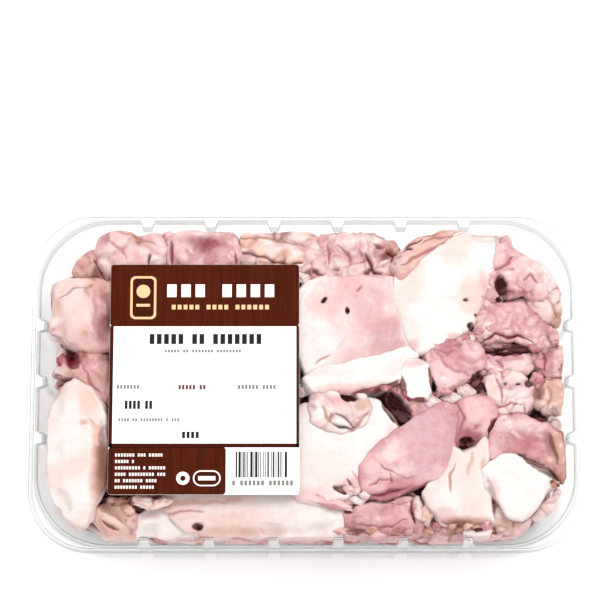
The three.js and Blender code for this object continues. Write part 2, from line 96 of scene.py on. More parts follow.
def add(tree, kind, inputs=None, **settings):
    """Adds a node with its settings; an input is a value, a socket, or a node whose first output feeds it."""
    node = tree.nodes.new("ShaderNode" + kind)
    for key, value in settings.items():
        setattr(node, key, value)
    for key, value in (inputs or {}).items():
        feed = value.outputs[0] if isinstance(value, bpy.types.Node) else value
        if isinstance(feed, bpy.types.NodeSocket):
            tree.links.new(feed, node.inputs[key])
        else:
            node.inputs[key].default_value = feed
    return node


def new_material(name):
    made = bpy.data.materials.new(name)
    made.use_nodes = True
    made.node_tree.nodes.clear()
    return made, made.node_tree


# Materials

# Raw meat in mm: width of swells and blood stains, height of swells and pores, and how far light runs inside,
# red light furthest. Real pores are finer, and are drawn as coarse as they have to be to show
FLESH_SWELL, STAIN_WIDTH = 4.5, 3.2
SWELL_HEIGHT, PORE_HEIGHT = 0.5, 0.12
LIGHT_REACH, REACH_BY_COLOUR = 2.4, (1.0, 0.42, 0.32)
JUICE_ROUGHNESS, JUICE_IOR, FLESH_IOR = 0.16, 1.34, 1.4


def raw_meat(name, pore, fleck, roughness, wetness, bleed):
    """Wet raw meat: the eye gets soft light from under the surface, small glints of juice and fine pores."""
    made, tree = new_material(name)
    place = add(tree, "TexCoord").outputs["Object"]
    tone = add(tree, "Attribute", attribute_name="tone")
    pores = add(tree, "TexNoise", {"Vector": place, "Scale": 1 / (pore * MM), "Detail": 3.0})
    swells = add(tree, "TexNoise", {"Vector": place, "Scale": 1 / (FLESH_SWELL * MM), "Detail": 2.0})
    spread = {"Vector": place, "Scale": 1 / (STAIN_WIDTH * MM), "Detail": 5.0, "Roughness": 0.68}
    stains = add(tree, "TexNoise", spread)
    bloody_share = {"Value": stains, "From Min": 0.46, "From Max": 0.62, "To Max": min(1, 7 * fleck)}
    stained = add(tree, "MapRange", bloody_share)
    layers = {"A": tone, "B": rgba(BLOOD_STAIN), "Factor": stained}
    bloody = add(tree, "Mix", layers, data_type="RGBA", blend_type="MULTIPLY")
    flecks = {"Value": pores, "From Min": 0.3, "From Max": 0.7, "To Min": 1 - fleck, "To Max": 1 + fleck / 2}
    depth = add(tree, "MapRange", flecks)
    colour = add(tree, "VectorMath", {0: bloody.outputs["Result"], "Scale": depth}, operation="SCALE")
    dull_and_wet = {"Value": swells, "From Min": 0.35, "From Max": 0.65}
    gloss = add(tree, "MapRange", {**dull_and_wet, "To Min": roughness - 0.08, "To Max": roughness + 0.12})
    # Dark meat, and the dark tones painted as shade in the gaps, shine less than pale skin
    pale = {"Value": add(tree, "RGBToBW", {"Color": tone}), "From Min": 0.03, "From Max": 0.35}
    juice = add(tree, "MapRange", {**pale, "To Max": wetness})
    shine = add(tree, "MapRange", {**pale, "To Min": 0.08, "To Max": 0.5})
    swell = add(tree, "Bump", {"Height": swells, "Strength": 0.35, "Distance": SWELL_HEIGHT * MM})
    fine = {"Height": pores, "Strength": 0.3, "Distance": PORE_HEIGHT * MM, "Normal": swell}
    grit = add(tree, "Bump", fine)
    body = add(
        tree,
        "BsdfPrincipled",
        {
            "Base Color": colour,
            "Roughness": gloss,
            "IOR": FLESH_IOR,
            "Specular IOR Level": shine,
            "Subsurface Weight": bleed,
            "Subsurface Radius": REACH_BY_COLOUR,
            "Subsurface Scale": LIGHT_REACH * MM,
            "Coat Weight": juice,
            "Coat Roughness": JUICE_ROUGHNESS,
            "Coat IOR": JUICE_IOR,
            "Normal": grit,
        },
    )
    add(tree, "OutputMaterial", {"Surface": body})
    return made


# The colour of the haze inside, and how closely the shine keeps to the parts that are seen edge on
PLASTIC_MILK = "FBFBFA"
GRAZE_POWER = 5.0


def clear_sheet(name, least, most, haze, tint, sheen, roughness):
    """Clear plastic: light goes straight through, a faint haze turns it milky and the grazing parts shine."""
    made, tree = new_material(name)
    clear = add(tree, "BsdfTransparent", {"Color": rgba(tint)})
    milk = add(tree, "BsdfDiffuse", {"Color": rgba(PLASTIC_MILK)})
    through = add(tree, "MixShader", {0: haze, 1: clear, 2: milk})
    shine = add(tree, "BsdfGlossy", {"Color": rgba(sheen), "Roughness": roughness})
    graze = add(tree, "LayerWeight", {"Blend": 0.5}).outputs["Facing"]
    rise = add(tree, "Math", {0: graze, 1: GRAZE_POWER}, operation="POWER")
    share = add(tree, "MapRange", {"Value": rise, "To Min": least, "To Max": most})
    both = add(tree, "MixShader", {0: share, 1: through, 2: shine})
    add(tree, "OutputMaterial", {"Surface": both})
    return made


# The paper's grain in mm and its strength; real fibres are finer, and are drawn as coarse as they have to be
# to show. The streaks in the header's ink are as wide as on planed wood, and much longer
PAPER_FIBRE, PAPER_GRAIN = 0.9, 0.03
WOOD_STREAK, STREAK_STRETCH = 1.6, 0.06
PRINT_SHINE = 0.03


def printed(name, code, roughness):
    """Coated label paper with one flat ink: the eye gets an even matt field with a faint paper grain."""
    made, tree = new_material(name)
    place = add(tree, "TexCoord").outputs["Object"]
    fibre = add(tree, "TexNoise", {"Vector": place, "Scale": 1 / (PAPER_FIBRE * MM), "Detail": 2.0})
    level = add(tree, "MapRange", {"Value": fibre, "To Min": 1 - PAPER_GRAIN, "To Max": 1 + PAPER_GRAIN})
    colour = add(tree, "VectorMath", {0: linear(code), "Scale": level}, operation="SCALE")
    finish = {"Base Color": colour, "Roughness": roughness, "Specular IOR Level": PRINT_SHINE}
    add(tree, "OutputMaterial", {"Surface": add(tree, "BsdfPrincipled", finish)})
    return made


def printed_wood(name, dark, light):
    """The header's ink, laid down as faint upright streaks like planed wood."""
    made, tree = new_material(name)
    place = add(tree, "TexCoord").outputs["Object"]
    drawn = add(tree, "Mapping", {"Vector": place, "Scale": (1.0, STREAK_STRETCH, 1.0)})
    width = {"Vector": drawn, "Scale": 1 / (WOOD_STREAK * MM), "Detail": 4.0, "Roughness": 0.65}
    streaks = add(tree, "TexNoise", width)
    share = add(tree, "MapRange", {"Value": streaks, "From Min": 0.35, "From Max": 0.75})
    colour = add(tree, "Mix", {"Factor": share, "A": rgba(dark), "B": rgba(light)}, data_type="RGBA")
    finish = {"Base Color": colour.outputs["Result"], "Roughness": 0.5, "Specular IOR Level": PRINT_SHINE}
    add(tree, "OutputMaterial", {"Surface": add(tree, "BsdfPrincipled", finish)})
    return made


# Each kind of meat by its slot: width of its pores in mm, depth of its flecks, roughness, wetness and bleed
MEAT = {
    "meat_skin": raw_meat("wet_veal_skin", 0.9, 0.02, 0.36, 0.25, 0.5),
    "meat_pale": raw_meat("wet_pale_tissue", 0.8, 0.05, 0.34, 0.3, 0.5),
    "meat_tan": raw_meat("wet_tan_fat", 0.9, 0.08, 0.36, 0.3, 0.4),
    "meat_muscle": raw_meat("wet_veal_muscle", 0.8, 0.11, 0.32, 0.35, 0.4),
    "meat_dark_muscle": raw_meat("wet_dark_muscle", 0.8, 0.13, 0.32, 0.4, 0.35),
    "meat_heap": raw_meat("wet_packed_meat", 0.9, 0.1, 0.34, 0.3, 0.25),
}
# Clear plastic: its shine straight on and edge on, haze, tint, and the tint and roughness of the shine
CLEAR_TRAY = clear_sheet("clear_thermoformed_tray", 0.03, 0.4, 0.07, "FDFEFE", "F2F4F4", 0.08)
# The rolled rim's grey tint and grey shine are painted shade and painted reflection for its thick clear edge
CLEAR_RIM = clear_sheet("clear_rolled_rim", 0.06, 0.8, 0.05, "D2D6D6", "C6CBCB", 0.15)
CLEAR_FILM = clear_sheet("clear_lidding_film", 0.002, 0.8, 0.0005, "FEFEFE", "F4F5F5", 0.05)
PAPER = printed("white_label_paper", "F4F3F0", 0.5)
HEADER_WOOD = printed_wood("brown_header_ink", "3B1206", "501B0B")
EDGE_INK = printed("dark_brown_ink", "3D1409", 0.45)
PALE_INK = printed("pale_gold_ink", "E2B98C", 0.45)
WHITE_INK = printed("white_ink", "EFE9E2", 0.45)
BLACK_INK = printed("black_ink", "242223", 0.5)
GREY_INK = printed("grey_ink", "7D7876", 0.5)
RED_INK = printed("dark_red_ink", "62363C", 0.45)


# Small helpers for shapes


def ease(low, high, value):
    """0 at low, 1 at high, with a soft start and end; low may lie above high."""
    share = np.clip((value - low) / (high - low), 0, 1)
    return share * share * (3 - 2 * share)


def wander(points, size, seed):
    """Smooth noise from about -1 to 1 at points in mm, with swells about size mm wide."""
    shift = Vector((7.3 * seed, 3.1 * seed, 5.7 * seed))
    return np.array([noise.noise(Vector(point) + shift) for point in points / size])


def shifts(points, size, seed):
    """Three noises side by side, which move points in mm along x, y and z."""
    return np.c_[wander(points, size, seed), wander(points, size, seed + 1), wander(points, size, seed + 2)]


def blend(here, there, share):
    return here + (there - here) * share[:, None]


def turned(places, turn):
    """Places along and across a line that is turned left from +X by turn degrees."""
    c, s = math.cos(math.radians(turn)), math.sin(math.radians(turn))
    return places[:, 0] * c + places[:, 1] * s, places[:, 1] * c - places[:, 0] * s


def mesh_of(form, name):
    """The mesh of a bmesh, which is freed."""
    mesh = bpy.data.meshes.new(name)
    form.to_mesh(mesh)
    form.free()
    return mesh


def in_scene(name, data):
    """A new object in the scene."""
    made = bpy.data.objects.new(name, data)
    bpy.context.scene.collection.objects.link(made)
    return made


def show(name, mesh, materials, node):
    """Makes a finished piece of the object that stands for the node."""
    for material in materials:
        mesh.materials.append(material)
    piece = in_scene(name, mesh)
    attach(piece, "root")
    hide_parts(node)
    return piece


def points_of(mesh):
    """Places in mm and unit normals of a mesh's vertices."""
    places = np.empty(len(mesh.vertices) * 3)
    mesh.vertices.foreach_get("co", places)
    facing = np.array([normal.vector for normal in mesh.vertex_normals])
    return places.reshape(-1, 3) / MM, facing


def put_points(mesh, places):
    mesh.vertices.foreach_set("co", (places * MM).ravel())
    mesh.shade_smooth()
    mesh.update()


def put_tones(mesh, colours):
    layer = mesh.color_attributes.new("tone", "FLOAT_COLOR", "POINT")
    layer.data.foreach_set("color", np.c_[np.clip(colours, 0, 1), np.ones(len(colours))].ravel())


def ease_edges(mesh, rounds):
    """Rounds off a mesh a little more with each round."""
    eased = bmesh.new()
    eased.from_mesh(mesh)
    for _ in range(rounds):
        bmesh.ops.smooth_vert(
            eased, verts=eased.verts, factor=0.5, use_axis_x=True, use_axis_y=True, use_axis_z=True
        )
    eased.to_mesh(mesh)
    eased.free()
    mesh.update()


MERGE_WITHIN = 0.002


def even_net(node, voxel, rounds):
    """The node's closed form with its loose faces merged, an even fine net and eased edges."""
    solid = bmesh.new()
    solid.from_mesh(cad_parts[node].data)
    bmesh.ops.remove_doubles(solid, verts=solid.verts, dist=MERGE_WITHIN * MM)
    carrier = in_scene(node + "_coarse", mesh_of(solid, node + "_coarse"))
    net = carrier.modifiers.new("even net", "REMESH")
    net.mode = "VOXEL"
    net.voxel_size = voxel * MM
    shown = carrier.evaluated_get(bpy.context.evaluated_depsgraph_get())
    fine = bpy.data.meshes.new_from_object(shown)
    bpy.data.objects.remove(carrier)
    ease_edges(fine, rounds)
    return fine


# Tray

# The tray lies about the frame's upright axis, so its corner gives half its length and width
TRAY_RIGHT, TRAY_BACK, TRAY_HEIGHT = box_mm("tray")[1]
WALL = 0.8
FLANGE = 2.6
FLANGE_CORNER = 26
CAVITY_CORNER = 30
WALL_LEAN = 2.4
WALL_HEIGHTS = (14, 26, 36, 38.4)
FOOT_FILLET = 5
BASE_EDGE = 14
RIB_DEPTH, RIB_FOOT = 3.2, 0.8
# One rib seen from above: how far along the wall from its middle, and how much of its depth
RIB_HALF = [(0.8, 1.0), (1.6, 1.0), (1.95, 0.9), (2.35, 0.5), (2.75, 0.1), (3.0, 0.0)]
RIB_SHAPE = [(-along, share) for along, share in reversed(RIB_HALF)] + [(0.0, 1.0)] + RIB_HALF
# Each side, from the front round to the left: the way along it, the way out, its ribs and their pitch
SIDES = [
    ((1, 0), (0, -1), 6, 27.0),
    ((0, 1), (1, 0), 3, 24.5),
    ((-1, 0), (0, 1), 6, 27.0),
    ((0, -1), (-1, 0), 3, 24.5),
]
CORNER_STEPS = 14
# The rolled lip in section, from under the flange round its edge to the top: inset and height
LIP = [
    (0.95, 39.2), (0.9, 39.1), (0.9, 38.15), (0.75, 38.0), (0.15, 38.0), (0.0, 38.15),
    (0.0, 39.6), (0.1, 39.87), (0.35, 40.0), (1.35, 40.0), (1.6, 39.82), (1.85, 40.0),
]
RIM_LOW = 38.05


def tray_level(inset, z, rib, corner):
    """One level of the tray as a closed loop that turns left, with upright ribs pressed into its sides."""
    loop = []
    for along, outwards, ribs, pitch in SIDES:
        run = abs(along[0]) * TRAY_RIGHT + abs(along[1]) * TRAY_BACK - inset
        out = abs(outwards[0]) * TRAY_RIGHT + abs(outwards[1]) * TRAY_BACK - inset
        side = []
        for i in range(ribs):
            middle = (i - (ribs - 1) / 2) * pitch
            side += [(middle + offset, out - rib * share) for offset, share in RIB_SHAPE]
        for k in range(CORNER_STEPS + 1):
            turn = math.radians(90 * k / CORNER_STEPS)
            side.append((run - corner + corner * math.sin(turn), out - corner + corner * math.cos(turn)))
        loop += [Vector((a * along[0] + o * outwards[0], a * along[1] + o * outwards[1], z)) for a, o in side]
    return loop


def wall_inset(z):
    return FLANGE + WALL_LEAN * (TRAY_HEIGHT - z) / TRAY_HEIGHT


def foot_levels(turns, skin):
    """The rounded foot of the wall, skin mm in from its outer face, at each turn in degrees."""
    foot = wall_inset(0) + FOOT_FILLET
    levels = []
    for turn in turns:
        lift, reach = 1 - math.cos(math.radians(turn)), math.sin(math.radians(turn))
        rib = RIB_FOOT + (RIB_DEPTH - RIB_FOOT) * turn / 90
        inset = foot - (foot - wall_inset(FOOT_FILLET) - skin) * reach
        height = skin + (FOOT_FILLET - skin) * lift
        levels.append((inset, height, rib, CAVITY_CORNER - FOOT_FILLET * (1 - reach)))
    return levels


def tray_levels():
    """The section of the tray: from the base up the outside, over the flange and down the inside."""
    edge = wall_inset(0) + FOOT_FILLET + BASE_EDGE
    return [
        (edge, 0, 0, CAVITY_CORNER - BASE_EDGE),
        *foot_levels(range(0, 91, 15), 0),
        *[(wall_inset(z), z, RIB_DEPTH, CAVITY_CORNER) for z in WALL_HEIGHTS],
        # The bend from the wall out under the flange, and further on the one from its top back in
        (FLANGE - 0.15, 38.95, RIB_DEPTH, CAVITY_CORNER),
        (FLANGE - 0.5, 39.2, RIB_DEPTH - 0.2, CAVITY_CORNER - 1.5),
        *[(inset, z, 0, FLANGE_CORNER - inset) for inset, z in LIP],
        (FLANGE + 0.3, 40.0, RIB_DEPTH, CAVITY_CORNER),
        (FLANGE + 0.65, 39.86, RIB_DEPTH, CAVITY_CORNER),
        (FLANGE + WALL, 39.5, RIB_DEPTH, CAVITY_CORNER),
        *[(wall_inset(z) + WALL, z, RIB_DEPTH, CAVITY_CORNER) for z in reversed(WALL_HEIGHTS)],
        *foot_levels(range(90, -1, -15), WALL),
        (edge, WALL, 0, CAVITY_CORNER - BASE_EDGE),
    ]


def is_flat(level, above):
    """True where the section runs level for more than half a millimetre."""
    return abs(level[1] - above[1]) < 0.01 and abs(level[0] - above[0]) > 0.5


def loft(form, loops, rim):
    """Extrudes the first loop through all the others into one closed skin; rim lists the rim's levels."""
    cap = form.faces.new([form.verts.new(point * MM) for point in loops[0]])
    for level, loop in enumerate(loops[1:]):
        raised = bmesh.ops.extrude_face_region(form, geom=[cap], use_keep_orig=True)
        if level:
            form.faces.remove(cap)
        cap = next(item for item in raised["geom"] if isinstance(item, bmesh.types.BMFace))
        for vert, point in zip(cap.verts, loop):
            vert.co = point * MM
        for side in {face for edge in cap.edges for face in edge.link_faces} - {cap}:
            side.material_index = int(level in rim)
    bmesh.ops.recalc_face_normals(form, faces=form.faces)


def build_tray():
    """The clear tray, with its rolled rim tinted grey: painted shade for how its thick clear edge bends
    light.
    """
    form = bmesh.new()
    levels = tray_levels()
    rolled = [k for k, level in enumerate(levels) if level[1] > RIM_LOW and not is_flat(level, levels[k + 1])]
    loft(form, [tray_level(*level) for level in levels], rolled)
    mesh = mesh_of(form, "tray_shell")
    mesh.shade_smooth()
    return show("clear_tray", mesh, [CLEAR_TRAY, CLEAR_RIM], "tray")


# Film

FILM_RIGHT, FILM_BACK = box_mm("film")[1][:2]
FILM_LOW, FILM_HIGH = 40.34, 40.42
# How far in from its edge the film is held and then free, how far its free part, its folds and its billows
# rise, and the length and width of those
FILM_HELD, FILM_FREE = 3, 14
FILM_RISE, FOLD_RISE, BILLOW_RISE = 0.1, 0.09, 0.08
FOLD_SIZE, BILLOW_SIZE = (34, 9), (60, 45)


def build_film():
    """The lidding film: drawn tight over the flange, with weak folds that run in from the corners."""
    corner = FLANGE_CORNER - (TRAY_RIGHT - FILM_RIGHT)
    form = bmesh.new()
    bmesh.ops.create_grid(form, x_segments=116, y_segments=74, size=1)
    for vert in form.verts:
        x, y = vert.co.x * FILM_RIGHT, vert.co.y * FILM_BACK
        past = Vector((max(abs(x) - FILM_RIGHT + corner, 0), max(abs(y) - FILM_BACK + corner, 0)))
        if past.x and past.y:
            past *= max(past) / past.length
            x = math.copysign(FILM_RIGHT - corner + past.x, x)
            y = math.copysign(FILM_BACK - corner + past.y, y)
        to_corner = corner - past.length if past.x and past.y else corner
        free = float(ease(FILM_HELD, FILM_FREE, min(FILM_RIGHT - abs(x), FILM_BACK - abs(y), to_corner)))
        fold = noise.noise(Vector((x / FOLD_SIZE[0], y / FOLD_SIZE[1], 3.1)))
        billow = noise.noise(Vector((x / BILLOW_SIZE[0], y / BILLOW_SIZE[1], 8.4)))
        rise = free * (FILM_RISE + FOLD_RISE * fold + BILLOW_RISE * billow)
        vert.co = Vector((x, y, FILM_LOW + rise)) * MM
    bmesh.ops.solidify(form, geom=form.faces, thickness=-(FILM_HIGH - FILM_LOW) * MM)
    bmesh.ops.recalc_face_normals(form, faces=form.faces)
    mesh = mesh_of(form, "film_sheet")
    mesh.shade_smooth()
    return show("clear_film", mesh, [CLEAR_FILM], "film")


# Label

(LABEL_LEFT, LABEL_FRONT, LABEL_BASE), (LABEL_RIGHT, LABEL_TOP, LABEL_FACE) = box_mm("label")
LABEL_CORNER = 1.5
INK_STEP = 0.03
# A block's width and the gap between two groups, as shares of the step from block to block
BLOCK_SHARE, GROUP_GAP = 0.66, 0.9
INKS = [PAPER, HEADER_WOOD, EDGE_INK, PALE_INK, WHITE_INK, BLACK_INK, GREY_INK, RED_INK]
# Printed fields: ink, layer, left, top, width, height and corner, in mm from the label's upper left corner
FIELDS = [
    (HEADER_WOOD, 1, 0.05, 0.05, 79.9, 27.2, 1.4),
    (EDGE_INK, 1, 0.05, 27.0, 1.5, 52.8, 0),
    (EDGE_INK, 1, 78.75, 27.0, 1.2, 52.8, 0),
    (EDGE_INK, 1, 0.05, 78.1, 79.9, 1.7, 0),
    (HEADER_WOOD, 1, 0.05, 79.6, 49.2, 20.35, 1.4),
    # A bare plate in the header, with a disc and a line
    (PALE_INK, 2, 8.4, 5.2, 11.0, 18.9, 2.2),
    (EDGE_INK, 3, 9.4, 6.2, 9.0, 16.9, 1.6),
    (PALE_INK, 4, 11.0, 9.0, 5.8, 5.8, 2.8),
    (PALE_INK, 4, 11.0, 17.4, 5.8, 1.2, 0),
    # A ring and an oval at the foot
    (WHITE_INK, 2, 28.6, 90.2, 5.6, 5.6, 2.75),
    (EDGE_INK, 3, 30.3, 91.9, 2.2, 2.2, 1.0),
    (WHITE_INK, 2, 35.6, 89.6, 11.6, 6.8, 3.3),
    (EDGE_INK, 3, 36.2, 90.2, 10.4, 5.6, 2.7),
    (WHITE_INK, 4, 37.8, 92.1, 7.2, 1.8, 0),
]
# Lines of small blocks: ink, left, top, height, how many blocks stand together, and the step between them
LINES = [
    (WHITE_INK, 24.0, 8.8, 5.6, (3, 4), 6.0),
    (PALE_INK, 26.0, 17.8, 2.0, (5, 4, 6), 2.5),
    (BLACK_INK, 16.8, 30.6, 4.4, (5, 2, 7), 3.05),
    (GREY_INK, 23.2, 37.4, 1.3, (5, 2, 7, 8), 1.32),
    (GREY_INK, 3.3, 52.8, 1.7, (7,), 1.4),
    (RED_INK, 29.2, 52.8, 2.0, (5, 2), 1.5),
    (GREY_INK, 54.2, 52.8, 1.8, (6, 4), 1.5),
    (BLACK_INK, 6.7, 59.6, 3.6, (4, 2), 1.75),
    (GREY_INK, 4.1, 67.2, 1.3, (4, 2, 8, 1, 3), 1.2),
    (BLACK_INK, 30.9, 73.0, 2.8, (4,), 1.9),
    (GREY_INK, 52.0, 93.9, 2.2, (1, 6, 6), 1.75),
]
FOOT_LINES = ((7, 3, 5), (5, 1), (9, 1, 6), (4, 9, 3), (2, 7, 4), (8, 5))
FOOT_LEFT, FOOT_TOP, FOOT_STEP = 3.0, 82.4, 2.75
LINES += [(WHITE_INK, FOOT_LEFT, FOOT_TOP + FOOT_STEP * k, 1.3, row, 1.2) for k, row in enumerate(FOOT_LINES)]
STRIPES_LEFT, STRIPES_RIGHT, STRIPES_TOP, STRIPES_HEIGHT = 53.4, 75.0, 81.6, 11.0
STRIPE_WIDTHS = (0.33, 0.33, 0.66, 1.0)
STRIPE_GAPS = (0.33, 0.5, 0.66, 0.99)


def plate(form, ink, layer, left, top, width, height, corner=0.0, base=None):
    """A printed field: a flat slab from left and top in mm on the label, one ink step above the last."""
    low = LABEL_FACE + (layer - 1) * INK_STEP if base is None else base
    high = LABEL_FACE + layer * INK_STEP
    right, foot = left + width, top + height
    outline = [(left, foot), (right, foot), (right, top), (left, top)]
    if corner:
        outline = []
        (west, east), (north, south) = (left + corner, right - corner), (top + corner, foot - corner)
        for i, (u, v) in enumerate(((east, south), (east, north), (west, north), (west, south))):
            for turn in range(90 * i - 90, 90 * i + 1, 15):
                c, s = math.cos(math.radians(turn)), math.sin(math.radians(turn))
                outline.append((u + corner * c, v - corner * s))
    ring = [form.verts.new(((LABEL_LEFT + u) * MM, (LABEL_TOP - v) * MM, low * MM)) for u, v in outline]
    face = form.faces.new(ring)
    raised = bmesh.ops.extrude_face_region(form, geom=[face], use_keep_orig=True)
    risen = [item for item in raised["geom"] if isinstance(item, bmesh.types.BMVert)]
    bmesh.ops.translate(form, verts=risen, vec=(0, 0, (high - low) * MM))
    touched = {face for vert in ring + risen for face in vert.link_faces}
    bmesh.ops.recalc_face_normals(form, faces=list(touched))
    for part in touched:
        part.material_index = INKS.index(ink)


def blocks(form, ink, left, top, height, groups, step):
    """A line of small plain blocks; groups lists how many stand together."""
    for count in groups:
        for _ in range(count):
            plate(form, ink, 2, left, top, BLOCK_SHARE * step, height)
            left += step
        left += GROUP_GAP * step


def build_label():
    """The paper label: plain fields, lines and bars only, with nothing to read."""
    form = bmesh.new()
    size = (LABEL_RIGHT - LABEL_LEFT, LABEL_TOP - LABEL_FRONT)
    plate(form, PAPER, 0, 0, 0, *size, LABEL_CORNER, LABEL_BASE)
    for field in FIELDS:
        plate(form, *field)
    for line in LINES:
        blocks(form, *line)
    dice = random.Random(7)
    at = STRIPES_LEFT
    while at < STRIPES_RIGHT:
        width = dice.choice(STRIPE_WIDTHS)
        plate(form, BLACK_INK, 2, at, STRIPES_TOP, width, STRIPES_HEIGHT)
        at += width + dice.choice(STRIPE_GAPS)
    return show("paper_label", mesh_of(form, "label_print"), INKS, "label")


# Cuts of meat

# Each kind of meat: how far its rim is squared up to a flat face, and how dark its sides are painted, partly
# as their own darker tissue and, down between the cuts, as painted shade
KINDS = {
    "meat_skin": dict(flat=0.85, deep=0.12),
    "meat_pale": dict(flat=0.65, deep=0.35),
    "meat_tan": dict(flat=0.4, deep=0.6),
    "meat_muscle": dict(flat=0.55, deep=0.65),
    "meat_dark_muscle": dict(flat=0.5, deep=0.85),
}
USUAL = dict(ease=2, lobes=(20, 0), grain=(0, 0), marbling=0, creases=())
